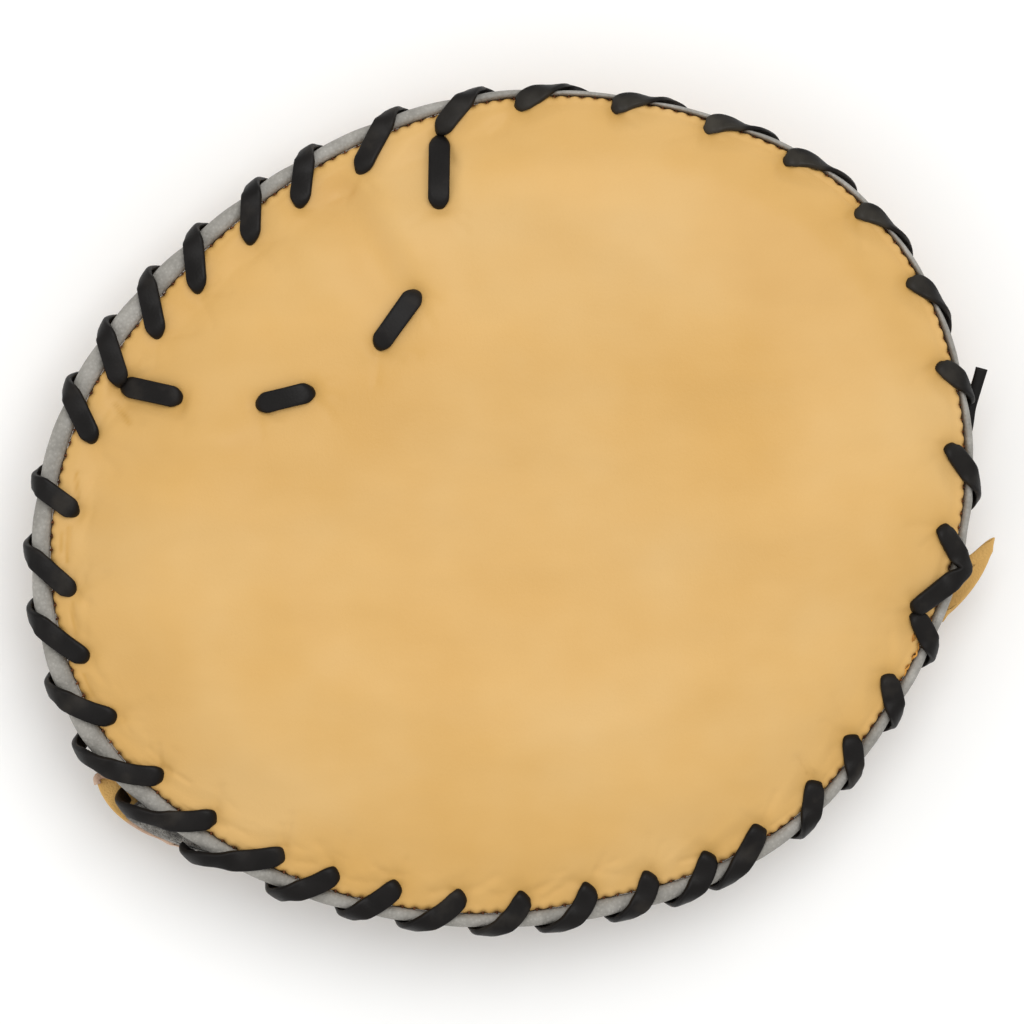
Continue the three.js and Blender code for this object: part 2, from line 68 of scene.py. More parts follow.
# The rim, one value for each 15 degrees of the clock.
rim = {
    "seam": [103.8, 107.6, 112.5, 118.5, 120.8, 119.3, 116.3, 111.6, 108.2, 107.0, 103.8, 100.7,
             101.0, 102.7, 105.7, 109.9, 114.2, 115.0, 112.6, 107.9, 101.9, 98.8, 98.3, 99.9],
    "welt": [2.6, 1.7, 1.9, 2.0, 2.0, 2.4, 2.9, 3.3, 3.4, 3.8, 4.6, 4.9,
             4.0, 3.8, 4.4, 4.9, 5.8, 5.5, 5.2, 5.5, 6.0, 4.8, 4.3, 4.0],
    "inset": [3.0, 3.0, 3.0, 3.0, 3.2, 4.0, 4.9, 4.6, 3.4, 3.4, 3.4, 4.0,
              4.6, 5.7, 4.6, 4.4, 4.7, 5.2, 6.3, 6.0, 6.5, 6.5, 6.6, 6.2],
}

# Each stitch of the edge lace: the clock angle of its hole, and how far round the rim it leans.
stitches = [
    (103.7, 4.2), (112.9, 4.7), (122.6, 4.5), (130.7, 5.5), (140.5, 8.6), (148.6, 6.5),
    (157.5, 6.0), (166.5, 6.7), (176.3, 6.1), (185.6, 6.9), (195.3, 5.5), (204.3, 6.3),
    (212.3, 10.2), (223.0, 9.3), (232.0, 8.7), (241.8, 6.9), (250.4, 7.3), (259.3, 6.1),
    (269.9, 3.9), (279.9, 6.5), (288.6, 6.6), (297.1, 6.7), (306.1, 6.4), (317.1, 5.9),
    (326.7, 5.2), (337.5, 7.3), (350.9, 5.4), (362.5, 4.8), (375.8, 4.5), (388.3, 4.6),
    (399.1, 4.8), (410.0, 4.1), (420.6, 3.9), (431.5, 3.9), (441.6, 5.4), (451.9, 0.0),
]

# Where the web lace goes through the palm.
webHoles = [
    (-15.2, 94.4), (-15.4, 76.6), (-20.9, 55.0), (-30.6, 41.4),
    (-47.0, 30.2), (-60.6, 26.9), (-80.4, 28.6), (-95.2, 31.9),
]


def mix(a, b, t):
    return a + (b - a) * t


def clamp(t):
    return min(1.0, max(0.0, t))


def ease(t):
    t = clamp(t)
    return t * t * (3 - 2 * t)


# Goes from 0 to 1 over a stretch that begins at start.
def rise(value, start, over):
    return ease((value - start) / over)


def bump(t):
    return math.exp(-t * t)


# Goes from 0 up to 1 in the middle and back to 0.
def arch(t):
    return 4 * t * (1 - t)


def clockOf(x, y):
    return math.degrees(math.atan2(x, y)) % 360


def clockGap(a, b):
    return abs((a - b + 180) % 360 - 180)


# How near a clock angle lies to another, from 0 to 1.
def aroundClock(clock, middle, reach):
    return bump(clockGap(clock, middle) / reach)


# A value of the rim at any clock angle, on a smooth curve through its column.
def rimAt(column, clock):
    values = rim[column]
    place = (clock % 360) * len(values) / 360
    row = int(place)
    a, b, c, d = (values[(row + k) % len(values)] for k in (-1, 0, 1, 2))
    t = place - row
    return b + 0.5 * t * (c - a + t * (2 * a - 5 * b + 4 * c - d + t * (3 * (b - c) + d - a)))


def atClock(clock, radius, z):
    turn = math.radians(clock)
    return Vector((radius * math.sin(turn), radius * math.cos(turn), z))


def rimPoint(clock, out, z):
    return atClock(clock, rimAt("seam", clock) + out, z)


def insetOf(x, y):
    return rimAt("seam", clockOf(x, y)) - math.hypot(x, y)


def distanceToLine(x, y, a, b):
    span = (b[0] - a[0], b[1] - a[1])
    along = clamp(((x - a[0]) * span[0] + (y - a[1]) * span[1]) / (span[0] ** 2 + span[1] ** 2))
    return math.hypot(x - a[0] - span[0] * along, y - a[1] - span[1] * along)


# The drawing's middle is not the frame's: the palm's lowest corner tells how far apart they are.
outline = [rimPoint(5 * k, 0, 0) for k in range(72)]
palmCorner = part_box("palm_pad")[0] / mm
padUnder = 27.5
shift = palmCorner - Vector((min(p.x for p in outline), min(p.y for p in outline), padUnder))

height = {"seam": 31.0, "palmRise": 12.5, "leather": 2.0, "gap": 0.35}
flangeLow = padUnder - height["gap"] - height["leather"]


def addObject(name, data):
    made = bpy.data.objects.new(name, data)
    bpy.context.scene.collection.objects.link(made)
    return made


# Turns a bmesh drawn in millimetres into a finished piece of the glove.
def finishPiece(bm, name, materials, replaced=()):
    bmesh.ops.translate(bm, verts=bm.verts, vec=shift)
    bmesh.ops.scale(bm, verts=bm.verts, vec=(mm, mm, mm))
    mesh = bpy.data.meshes.new(name)
    bm.to_mesh(mesh)
    bm.free()
    for material in materials:
        mesh.materials.append(material)
    mesh.polygons.foreach_set("use_smooth", [True] * len(mesh.polygons))
    piece = addObject(name, mesh)
    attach(piece, "root")
    for node in replaced:
        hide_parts(node)
    print("glove:", name, len(mesh.polygons), "faces")
    return piece


# Smooth curve through points, as evenly spaced places about one step apart.
def curveThrough(points, step):
    reaches = [(b - a).length for a, b in zip(points, points[1:])]
    headings = [(points[1] - points[0]).normalized()]
    for i in range(1, len(points) - 1):
        headings.append((points[i + 1] - points[i - 1]) / (reaches[i - 1] + reaches[i]))
    headings.append((points[-1] - points[-2]).normalized())
    route = []
    for i, reach in enumerate(reaches):
        count = max(1, round(reach / step))
        for k in range(count):
            t = k / count
            leave = headings[i] * (t * (1 - t) ** 2) - headings[i + 1] * (t * t * (1 - t))
            route.append(points[i].lerp(points[i + 1], t * t * (3 - 2 * t)) + leave * reach)
    return [*route, points[-1]]


# Takes the kinks out of a route, whose ends stay.
def eased(route, passes):
    for _ in range(passes):
        inner = [(a + b * 2 + c) / 4 for a, b, c in zip(route, route[1:], route[2:])]
        route = [route[0], *inner, route[-1]]
    return route


def squared(value, power):
    return math.copysign(abs(value) ** power, value)


# A square grid drawn out to the seam, less an inset. A crowd under 1 crowds it towards the rim.
def roundSheet(cells, inset=0, crowd=1):
    bm = bmesh.new()
    bmesh.ops.create_grid(bm, x_segments=cells, y_segments=cells, size=1)
    for v in bm.verts:
        u, w = v.co.x, v.co.y
        disc = Vector((u * math.sqrt(1 - w * w / 2), w * math.sqrt(1 - u * u / 2)))
        clock = clockOf(disc.x, disc.y)
        v.co = atClock(clock, disc.length ** crowd * (rimAt("seam", clock) - inset), 0)
    return bm


# Turns the faces of an open sheet to look down.
def faceDown(bm):
    bmesh.ops.recalc_face_normals(bm, faces=bm.faces)
    if sum(f.normal.z for f in bm.faces) > 0:
        bmesh.ops.reverse_faces(bm, faces=bm.faces)


faceEvened = 6  # how often the way that a section faces is evened out along its route


# Pulls a section along a route. outOf gives the way its face looks. sizeAt gives its half width, its half
# thickness, how far its sides lie above its middle, and its power, which is 1 for an ellipse, less for a
# squarer section.
def pullAlong(bm, route, sides, outOf, sizeAt):
    across = bm.verts.layers.float_vector.new("across")
    cap = bmesh.ops.create_circle(bm, cap_ends=True, segments=sides, radius=1)["verts"]
    for v in cap:
        v[across] = v.co
    face = cap[0].link_faces[0]
    lined = [route[0], *route, route[-1]]
    headings = [(after - before).normalized() for before, after in zip(lined, lined[2:])]
    outs = [outOf(place, along) for place, along in zip(route, headings)]
    outs = [(out - along * out.dot(along)).normalized() for out, along in zip(outs, headings)]
    outs = eased(outs, faceEvened)
    passed = []
    gone = 0.0
    for k, (place, along, out) in enumerate(zip(route, headings, outs)):
        if k:
            passed.append(face)
            made = bmesh.ops.extrude_face_region(bm, geom=[face])["geom"]
            face = next(g for g in made if isinstance(g, bmesh.types.BMFace))
            gone += (place - route[k - 1]).length
        out = (out - along * out.dot(along)).normalized()
        side = along.cross(out)
        width, thick, cup, power = sizeAt(place, gone)
        for v in face.verts:
            wide, tall = (squared(value, power) for value in v[across][:2])
            v.co = place + side * wide * width + out * (tall * thick + cup * wide * wide)
    bmesh.ops.delete(bm, geom=passed[1:], context="FACES_ONLY")
    bmesh.ops.recalc_face_normals(bm, faces=bm.faces)


# Materials

def addNode(tree, kind, inputs=None, **settings):
    node = tree.nodes.new(kind)
    for key, value in settings.items():
        setattr(node, key, value)
    for key, value in (inputs or {}).items():
        socket = node.inputs[key]
        if isinstance(value, bpy.types.NodeSocket):
            tree.links.new(value, socket)
        else:
            socket.default_value = value
    return node


def blendColour(tree, factor, a, b, way="MIX"):
    inputs = {0: factor, 6: a, 7: b}
    return addNode(tree, "ShaderNodeMix", inputs, data_type="RGBA", blend_type=way).outputs[2]


def ramp(tree, value, stops):
    node = addNode(tree, "ShaderNodeValToRGB", {"Fac": value})
    elements = node.color_ramp.elements
    while len(elements) < len(stops):
        elements.new(0.5)
    for element, (place, colour) in zip(elements, stops):
        element.position = place
        element.color = colour
    return node.outputs["Color"]


def grey(value):
    return (value, value, value, 1)


def newGroup(name, numbers, outputs):
    tree = bpy.data.node_groups.new(name, "ShaderNodeTree")
    for key, value in numbers.items():
        socket = tree.interface.new_socket(key, in_out="INPUT", socket_type="NodeSocketFloat")
        socket.default_value = value
    for key in outputs:
        tree.interface.new_socket(key, in_out="OUTPUT", socket_type="NodeSocketFloat")
    return tree, addNode(tree, "NodeGroupInput").outputs


# Leather seen close: pores, fine grain, soft clouds of colour and long faint streaks.
def leatherGroup():
    tree, given = newGroup(
        "leatherFinish",
        {"Pores per Metre": 900.0, "Clouds per Metre": 22.0, "Streaks per Metre": 12.0},
        ["Height", "Clouds", "Streaks", "Pores"],
    )
    place = addNode(tree, "ShaderNodeTexCoord").outputs["Object"]
    pores = addNode(tree, "ShaderNodeTexVoronoi", {"Vector": place, "Scale": given["Pores per Metre"]})
    fine = addNode(tree, "ShaderNodeTexNoise", {"Vector": place, "Scale": 1900.0, "Detail": 1.0})
    clouds = addNode(tree, "ShaderNodeTexNoise",
                     {"Vector": place, "Scale": given["Clouds per Metre"], "Detail": 3.0})
    turned = addNode(tree, "ShaderNodeMapping",
                     {"Vector": place, "Rotation": (0, 0, math.radians(62)), "Scale": (1.0, 3.2, 1.0)})
    streaks = addNode(tree, "ShaderNodeTexNoise",
                      {"Vector": turned.outputs[0], "Scale": given["Streaks per Metre"], "Detail": 3.0,
                       "Roughness": 0.62})
    summed = addNode(tree, "ShaderNodeMath", {0: pores.outputs["Distance"], 1: 0.7, 2: fine.outputs["Fac"]},
                     operation="MULTIPLY_ADD").outputs[0]
    addNode(tree, "NodeGroupOutput", {"Height": summed, "Clouds": clouds.outputs["Fac"],
                                      "Streaks": streaks.outputs["Fac"], "Pores": pores.outputs["Distance"]})
    return tree


leatherFinish = leatherGroup()


def attribute(tree, name):
    return addNode(tree, "ShaderNodeAttribute", attribute_name=name).outputs["Fac"]


tanHide = {
    "pale": (0.622, 0.392, 0.145, 1),
    "middle": (0.600, 0.360, 0.115, 1),
    "golden": (0.570, 0.328, 0.090, 1),
    # the last two are painted shade: where laces, pits and creases press the hide, and where it turns into
    # its seam
    "pressed": (0.520, 0.290, 0.066, 1),
    "seam": (0.330, 0.140, 0.028, 1),
}


# Streaks, and painted shade where laces, pits and creases press the hide, near its left rim, and where it
# turns down into its seam.
def tintTan(tree, leather, base):
    streaked = ramp(tree, leather["Streaks"], [(0.35, grey(0.975)), (0.5, grey(1.0)), (0.68, grey(1.03))])
    base = blendColour(tree, 1.0, base, streaked, "MULTIPLY")
    for name in ("pressed", "seam"):
        base = blendColour(tree, attribute(tree, name), base, tanHide[name])
    return base


def tintGrey(tree, leather, base):
    marks = ramp(tree, leather["Pores"], [(0.08, grey(1.18)), (0.25, grey(1.0)), (0.75, grey(0.88))])
    return blendColour(tree, 1.0, base, marks, "MULTIPLY")


# A lighter grey-brown top where its attribute says so: wear, with painted highlight where the light falls on
# the laces' tops.
def tintBlack(tree, leather, base):
    rubbedAndLit = ramp(tree, leather["Clouds"], [(0.3, (0.020, 0.017, 0.013, 1)), (0.7, (0.040, 0.035, 0.027, 1))])
    return blendColour(tree, attribute(tree, "wearAndHighlight"), base, rubbedAndLit)


# The colour of the finished side, which the strap's ends keep on top.
def tintRaw(tree, leather, base):
    return blendColour(tree, attribute(tree, "hideSide"), base, tanHide["middle"])


# Each finish: its material's name and plain inputs, the spacing in its leather, the colours of its clouds,
# what tints them, its roughness from the dark clouds to the pale, and its relief, a height in metres and a
# strength.
looks = {
    "tan": {
        "name": "tan_leather", "plain": {"Specular IOR Level": 0.35}, "spacing": {},
        "clouds": [(0.30, tanHide["golden"]), (0.5, tanHide["middle"]), (0.70, tanHide["pale"])],
        "tinted": tintTan, "rough": (0.46, 0.56), "relief": (0.00006, 0.5),
    },
    "grey": {
        "name": "grey_leather", "plain": {"Specular IOR Level": 0.3},
        "spacing": {"Clouds per Metre": 130.0, "Pores per Metre": 1150.0},
        "clouds": [(0.32, (0.228, 0.216, 0.192, 1)), (0.5, (0.288, 0.274, 0.246, 1)),
                   (0.68, (0.350, 0.334, 0.304, 1))],
        "tinted": tintGrey, "rough": (0.5, 0.7), "relief": (0.00022, 0.7),
    },
    "black": {  # the laces
        "name": "black_leather", "plain": {"Specular IOR Level": 0.15},
        "spacing": {"Clouds per Metre": 110.0, "Pores per Metre": 1500.0},
        "clouds": [(0.35, (0.0042, 0.0034, 0.0030, 1)), (0.56, (0.0068, 0.0056, 0.0050, 1)),
                   (0.72, (0.019, 0.016, 0.013, 1))],
        "tinted": tintBlack, "rough": (0.38, 0.55), "relief": (0.00006, 0.5),
    },
    "raw": {  # the flesh side and the cut edges of the hides
        "name": "raw_edge", "plain": {"Specular IOR Level": 0.2, "Roughness": 0.85},
        "spacing": {"Clouds per Metre": 260.0, "Pores per Metre": 2200.0},
        "clouds": [(0.3, (0.36, 0.22, 0.14, 1)), (0.5, (0.50, 0.33, 0.23, 1)), (0.72, (0.62, 0.45, 0.34, 1))],
        "tinted": tintRaw, "relief": (0.0002, 0.8),
    },
    "felt": {
        "name": "grey_felt", "plain": {"Specular IOR Level": 0.15, "Sheen Weight": 0.35, "Roughness": 0.95},
        "spacing": {"Clouds per Metre": 420.0, "Pores per Metre": 2600.0},
        "clouds": [(0.3, (0.115, 0.109, 0.100, 1)), (0.5, (0.235, 0.224, 0.203, 1)),
                   (0.72, (0.400, 0.383, 0.350, 1))],
        "relief": (0.0005, 1.0),
    },
    "thread": {
        "name": "dark_thread", "plain": {"Specular IOR Level": 0.2, "Roughness": 0.8},
        "spacing": {"Clouds per Metre": 500.0},
        "clouds": [(0.3, (0.050, 0.016, 0.007, 1)), (0.7, (0.210, 0.075, 0.026, 1))],
    },
    "frayed": {
        "name": "frayed_thread", "plain": {"Specular IOR Level": 0.2, "Roughness": 0.8},
        "spacing": {"Clouds per Metre": 500.0},
        "clouds": [(0.3, (0.30, 0.12, 0.02, 1)), (0.7, (0.62, 0.30, 0.06, 1))],
    },
}


def newMaterial(name, plain):
    material = bpy.data.materials.new(name)
    material.use_nodes = True
    shader = material.node_tree.nodes["Principled BSDF"]
    for key, value in plain.items():
        shader.inputs[key].default_value = value
    return material, material.node_tree, shader


def newFinish(look):
    material, tree, shader = newMaterial(look["name"], look["plain"])
    leather = addNode(tree, "ShaderNodeGroup", look["spacing"], node_tree=leatherFinish).outputs
    base = ramp(tree, leather["Clouds"], look["clouds"])
    if "tinted" in look:
        base = look["tinted"](tree, leather, base)
    tree.links.new(base, shader.inputs["Base Color"])
    if "rough" in look:
        dark, pale = look["rough"]
        rough = ramp(tree, leather["Clouds"], [(0.3, grey(dark)), (0.7, grey(pale))])
        tree.links.new(rough, shader.inputs["Roughness"])
    if "relief" in look:
        distance, strength = look["relief"]
        relief = addNode(tree, "ShaderNodeBump",
                         {"Height": leather["Height"], "Distance": distance, "Strength": strength})
        tree.links.new(relief.outputs[0], shader.inputs["Normal"])
    return material


finishes = {key: newFinish(look) for key, look in looks.items()}
print("glove: materials made")


# The palm

palm = {
    "cells": 124,  # of the grid that the hide is drawn on
    "crowd": 0.85,  # under 1 crowds the grid towards the rim
    "evened": 6,  # how often the grid's cells are evened out
    "edge": 0.8,
    "shoulderFar": 19, "shoulderNear": 34, "farClock": 48, "roundFar": 0.6, "roundNear": 0.35,
    "dishDepth": 4.5, "dishReach": 82, "dishX": 14, "dishY": 2,
    "webDrop": 3.0, "webFrom": 78, "webOver": 30, "webEdge": 12,
    "fullInset": 10,  # nearer to the seam than this the folds and the slack fade out
    "swell": 2.4,  # the most that the padding may lift the hide
    "slack": 0.9,  # how much lower it lies before
    "swellSteps": 20,
    "calmInset": 10, "calm": 8,  # how far in, and how often, the hide is smoothed after it has swelled
    "turn": 1.8,  # how far in from the seam the hide starts to turn down
    "turnSteps": 5, "turnDeep": 0.9, "turnOut": 0.2,
    "wall": [(0.33, 29.0), (0.33, 28.2)], "liningOuts": (-0.6, -16, -40, -70),  # below the seam, and inwards
    "scallop": 0.4, "scallopDeep": 0.6,
    "threadPitch": 3.45, "threadPull": 1.5,
    "pitDepth": 0.9, "pitReach": 2.2, "pitArea": 9.0, "lineArea": 4.0,
    "laceDent": 0.4, "edgeDent": 0.1, "laceHalf": 1.6, "laceSlope": 4.5, "laceEnd": 3.0, "laceRows": 6,
    "edgeFirm": 0.5,
    "creaseDepth": 0.45, "creaseReach": 0.6,
}
# The cloth that the hide is while the padding swells it.
padding = {"quality": 4, "mass": 0.3, "tension_stiffness": 25, "compression_stiffness": 25,
           "bending_stiffness": 1.5, "vertex_group_mass": "held", "use_pressure": True,
           "uniform_pressure_force": 4}
# How firmly the lacing and the seam hold the hide down, and how far off.
hold = {"holeReach": 3.0, "run": 0.8, "runReach": 3.2, "edgeReach": 3.0}
# How strongly painted shade darkens the hide where laces, pits and creases press it, near the left rim and in
# its seam, from 0 to 1.
paintedShade = {"lace": 0.22, "crease": 0.9, "pit": 0.5, "pitReach": 4.5,
        "rim": 0.5, "rimInset": 6, "rimClock": 258, "rimReach": 42,
        "seamTurnShade": 0.6, "shadeBetweenThreads": 0.15, "seamWallShade": 0.75}
# Short puckers that run inwards from each lace hole.
pucker = {"count": 3, "fan": 75, "start": (1.5, 3.0), "long": (3.0, 8.0),
          "depth": (0.1, 0.3), "reach": (0.7, 1.3)}
# Short wrinkles along the rim, between two clock angles.
wrinkle = {"count": 70, "clocks": (160, 292), "inset": (2.5, 9.0), "long": (0.8, 4.2), "slant": 2.2,
           "depth": (0.05, 0.26), "reach": 0.75}
# Troughs (depth over 0) and ridges (depth under 0) in the palm: each one's start, end, depth and reach.
folds = [
    (-43, 86, -27, 57, 2.8, 6.0),
    (-35, 86, -22, 64, -1.6, 5.0),
    (-56, 78, -44, 58, -1.4, 6.0),
    (-21, 92, -21, 78, 1.2, 5.0),
    (-12, 74, -8, 52, 1.6, 8.0),
    (-99, 32, -66, 25, 1.6, 5.0),
    (-97, 20, -70, 19, -2.0, 6.0),
    (-56, 24, -39, -36, 1.2, 9.0),
]
# Sharp creases in the hide near the left rim, as starts and ends.
creases = [
    (-106.8, 9.8, -106.6, 3.0), (-108.6, -3.8, -109.3, -12.6), (-107.9, -22.9, -107.4, -30.7),
    (-110.3, -5.5, -110.9, -10.0), (-104.9, -41.0, -102.9, -46.5), (-97.0, 27.5, -93.4, 22.4),
]
webRuns = list(zip(webHoles, webHoles[1:]))
shownRuns = webRuns[::2]


def palmTop(x, y):
    clock = clockOf(x, y)
    inset = insetOf(x, y)
    far = 0.5 + 0.5 * math.cos(math.radians(clock - palm["farClock"]))
    climb = clamp((inset - palm["edge"]) / mix(palm["shoulderNear"], palm["shoulderFar"], far))
    rounded = math.sqrt(1 - (1 - climb) ** 2)
    shoulder = mix(ease(climb), rounded, mix(palm["roundNear"], palm["roundFar"], far))
    fromDish = math.hypot(x - palm["dishX"], y - palm["dishY"])
    dished = palm["dishDepth"] * ease(1 - fromDish / palm["dishReach"])
    towardsWeb = rise(y - x, palm["webFrom"], palm["webOver"])
    dropped = palm["webDrop"] * towardsWeb * ease(inset / palm["webEdge"])
    pressedIn = sum(f[4] * bump(distanceToLine(x, y, f[:2], f[2:4]) / f[5]) for f in folds)
    lowered = dished + dropped + pressedIn * ease(inset / palm["fullInset"])
    return height["seam"] + max(0.0, height["palmRise"] * shoulder - lowered)


# How far in from the seam an edge lace's hole is: its end reaches half a millimetre further.
def holeInset(clock):
    return rimAt("inset", clock) - 0.5


def holeAt(clock):
    return rimPoint(clock, -holeInset(clock), 0)


holes = [holeAt(clock).xy for clock, _ in stitches] + [Vector(place) for place in webHoles]


# How firmly the lacing holds the hide down at a place, from 0 to 1.
def heldAt(x, y):
    near = min((Vector((x, y)) - hole).length for hole in holes)
    run = min(distanceToLine(x, y, a, b) for a, b in shownRuns)
    edge = 1 - rise(insetOf(x, y), palm["turn"], hold["edgeReach"])
    return max(bump(near / hold["holeReach"]), hold["run"] * bump(run / hold["runReach"]), edge)


# The sheet that the hide starts as, with its cells evened out.
def palmSheet():
    bm = roundSheet(palm["cells"], palm["turn"], palm["crowd"])
    inner = [v for v in bm.verts if not v.is_boundary]
    for _ in range(palm["evened"]):
        bmesh.ops.smooth_vert(bm, verts=inner, factor=0.5, use_axis_x=True, use_axis_y=True)
    for v in bm.verts:
        v.co.z = palmTop(v.co.x, v.co.y)
    return bm


# The padding swells the hide between the seam, the lace holes and the web lace, which hold it down.
def swellPadding(bm):
    held = [heldAt(v.co.x, v.co.y) for v in bm.verts]
    for v, grip in zip(bm.verts, held):
        v.co.z -= palm["slack"] * (1 - grip) * ease(insetOf(v.co.x, v.co.y) / palm["fullInset"])
    mesh = bpy.data.meshes.new("padding_trial")
    bm.to_mesh(mesh)
    mesh.transform(Matrix.Scale(mm, 4))
    trial = addObject("padding_trial", mesh)
    group = trial.vertex_groups.new(name="held")
    for k, grip in enumerate(held):
        group.add([k], grip, "REPLACE")
    cloth = trial.modifiers.new("padding", "CLOTH")
    for key, value in padding.items():
        setattr(cloth.settings, key, value)
    cloth.settings.effector_weights.gravity = 0
    cloth.collision_settings.use_collision = False
    scene = bpy.context.scene
    for step in range(palm["swellSteps"]):
        scene.frame_set(step + 1)
    shaped = trial.evaluated_get(bpy.context.evaluated_depsgraph_get()).to_mesh()
    for v, grip, moved in zip(bm.verts, held, shaped.vertices):
        drawn = moved.co / mm - v.co
        if drawn.length > palm["swell"]:
            drawn *= palm["swell"] / drawn.length
        v.co += drawn * (1 - grip)
    scene.frame_set(1)
    bpy.data.objects.remove(trial)
    calm = [v for v in bm.verts if insetOf(v.co.x, v.co.y) > palm["calmInset"]]
    for _ in range(palm["calm"]):
        bmesh.ops.smooth_vert(bm, verts=calm, factor=0.5, use_axis_z=True)
    print("glove: padding swelled")


# A taut lace presses a strip of the hide level across, from one place to another, and paints shade on it.
def pressUnder(bm, tree, start, end, dent, firm):
    span = end - start
    rows = palm["laceRows"]
    spots = [start + span * (k / rows) for k in range(rows + 1)]
    heights = [bm.verts[tree.find((*spot, 0))[1]].co.z for spot in spots]
    pressed = bm.verts.layers.float["pressed"]
    margin = palm["laceHalf"] + palm["laceSlope"] + palm["laceEnd"]
    for _, index, _ in tree.find_range((*spots[rows // 2], 0), span.length / 2 + margin):
        v = bm.verts[index]
        along = (v.co.xy - start).dot(span) / span.length_squared
        t = clamp(along)
        away = abs((v.co.xy - start).cross(span)) / span.length
        past = abs(along - t) * span.length
        grip = (1 - rise(away, palm["laceHalf"], palm["laceSlope"])) * (1 - ease(past / palm["laceEnd"]))
        row = min(rows - 1, int(t * rows))
        level = mix(heights[row], heights[row + 1], t * rows - row)
        v.co.z = mix(v.co.z, min(v.co.z, level), grip * firm) - dent * grip
        # painted shade under and beside the lace
        v[pressed] = max(v[pressed], paintedShade["lace"] * grip)


# The vertices of the hide beside a line, each with how near it lies, from 0 to 1.
def besideLine(bm, tree, start, end, reach):
    middle = ((start[0] + end[0]) / 2, (start[1] + end[1]) / 2, 0)
    span = math.hypot(end[0] - start[0], end[1] - start[1])
    for _, index, _ in tree.find_range(middle, span / 2 + palm["lineArea"]):
        v = bm.verts[index]
        yield v, bump(distanceToLine(v.co.x, v.co.y, start, end) / reach)


# Pits where the laces go down, with puckers round them, and painted shade in and round each pit.
def pressHoles(bm, tree, dice):
    pressed = bm.verts.layers.float["pressed"]
    for hole in holes:
        for _, index, away in tree.find_range((hole.x, hole.y, 0), palm["pitArea"]):
            v = bm.verts[index]
            v.co.z -= palm["pitDepth"] * bump(away / palm["pitReach"])
            v[pressed] = max(v[pressed], paintedShade["pit"] * bump(away / paintedShade["pitReach"]))
        inwards = Vector((-hole.x, -hole.y)).normalized()
        for _ in range(pucker["count"]):
            turn = Matrix.Rotation(math.radians(dice.uniform(-pucker["fan"], pucker["fan"])), 2)
            way = turn @ inwards
            start = hole + way * dice.uniform(*pucker["start"])
            end = start + way * dice.uniform(*pucker["long"])
            depth = dice.uniform(*pucker["depth"])
            reach = dice.uniform(*pucker["reach"])
            for v, share in besideLine(bm, tree, start, end, reach):
                v.co.z -= depth * share


# Sharp creases near the left rim, with painted shade along them, short wrinkles along the rim, and a golden
# painted shade near the rim at its left side.
def creaseRim(bm, tree, dice):
    pressed = bm.verts.layers.float["pressed"]
    for v in bm.verts:
        nearRim = bump(insetOf(v.co.x, v.co.y) / paintedShade["rimInset"])
        nearClock = aroundClock(clockOf(v.co.x, v.co.y), paintedShade["rimClock"], paintedShade["rimReach"])
        # painted shade near the rim at its left side
        v[pressed] = max(v[pressed], paintedShade["rim"] * nearRim * nearClock)
    for crease in creases:
        for v, share in besideLine(bm, tree, crease[:2], crease[2:], palm["creaseReach"]):
            v.co.z -= palm["creaseDepth"] * share
            # painted shade along the crease
            v[pressed] = max(v[pressed], paintedShade["crease"] * share)
    for _ in range(wrinkle["count"]):
        clock = dice.uniform(*wrinkle["clocks"])
        inset = dice.uniform(*wrinkle["inset"])
        turn = dice.uniform(*wrinkle["long"])
        start = rimPoint(clock, -inset, 0)
        end = rimPoint(clock + turn, -inset - dice.uniform(-wrinkle["slant"], wrinkle["slant"]), 0)
        depth = dice.uniform(*wrinkle["depth"])
        for v, share in besideLine(bm, tree, start, end, wrinkle["reach"]):
            v.co.z -= depth * share


# Strips under the laces, pits and puckers at their holes, and the creases along the rim, each with painted
# shade.
def pressLaces(bm):
    dice = random.Random(11)
    tree = kdtree.KDTree(len(bm.verts))
    for v in bm.verts:
        tree.insert((v.co.x, v.co.y, 0), v.index)
    tree.balance()
    bm.verts.ensure_lookup_table()
    bm.verts.layers.float.new("pressed")
    for a, b in shownRuns:
        pressUnder(bm, tree, Vector(a), Vector(b), palm["laceDent"], 1)
    for clock, lean in stitches[:-1]:
        end = rimPoint(clock + lean, 1, 0)
        pressUnder(bm, tree, holeAt(clock).xy, end.xy, palm["edgeDent"], palm["edgeFirm"])
    pressHoles(bm, tree, dice)
    creaseRim(bm, tree, dice)


seamStep = 0.25
seamClocks = [k * seamStep for k in range(round(360 / seamStep) + 1)]
seamLengths = [0.0]
for before, after in zip(seamClocks, seamClocks[1:]):
    seamLengths.append(seamLengths[-1] + (rimPoint(after, 0, 0) - rimPoint(before, 0, 0)).length)
threads = round(seamLengths[-1] / palm["threadPitch"])


# How many threads lie along the seam up to a clock angle.
def threadAt(clock):
    place = (clock % 360) / seamStep
    row = int(place)
    return threads * mix(seamLengths[row], seamLengths[row + 1], place - row) / seamLengths[-1]


# How far a thread draws the hide in at a clock angle, from 0 to 1.
def threadPull(clock):
    return (0.5 + 0.5 * math.cos(2 * math.pi * threadAt(clock))) ** palm["threadPull"]
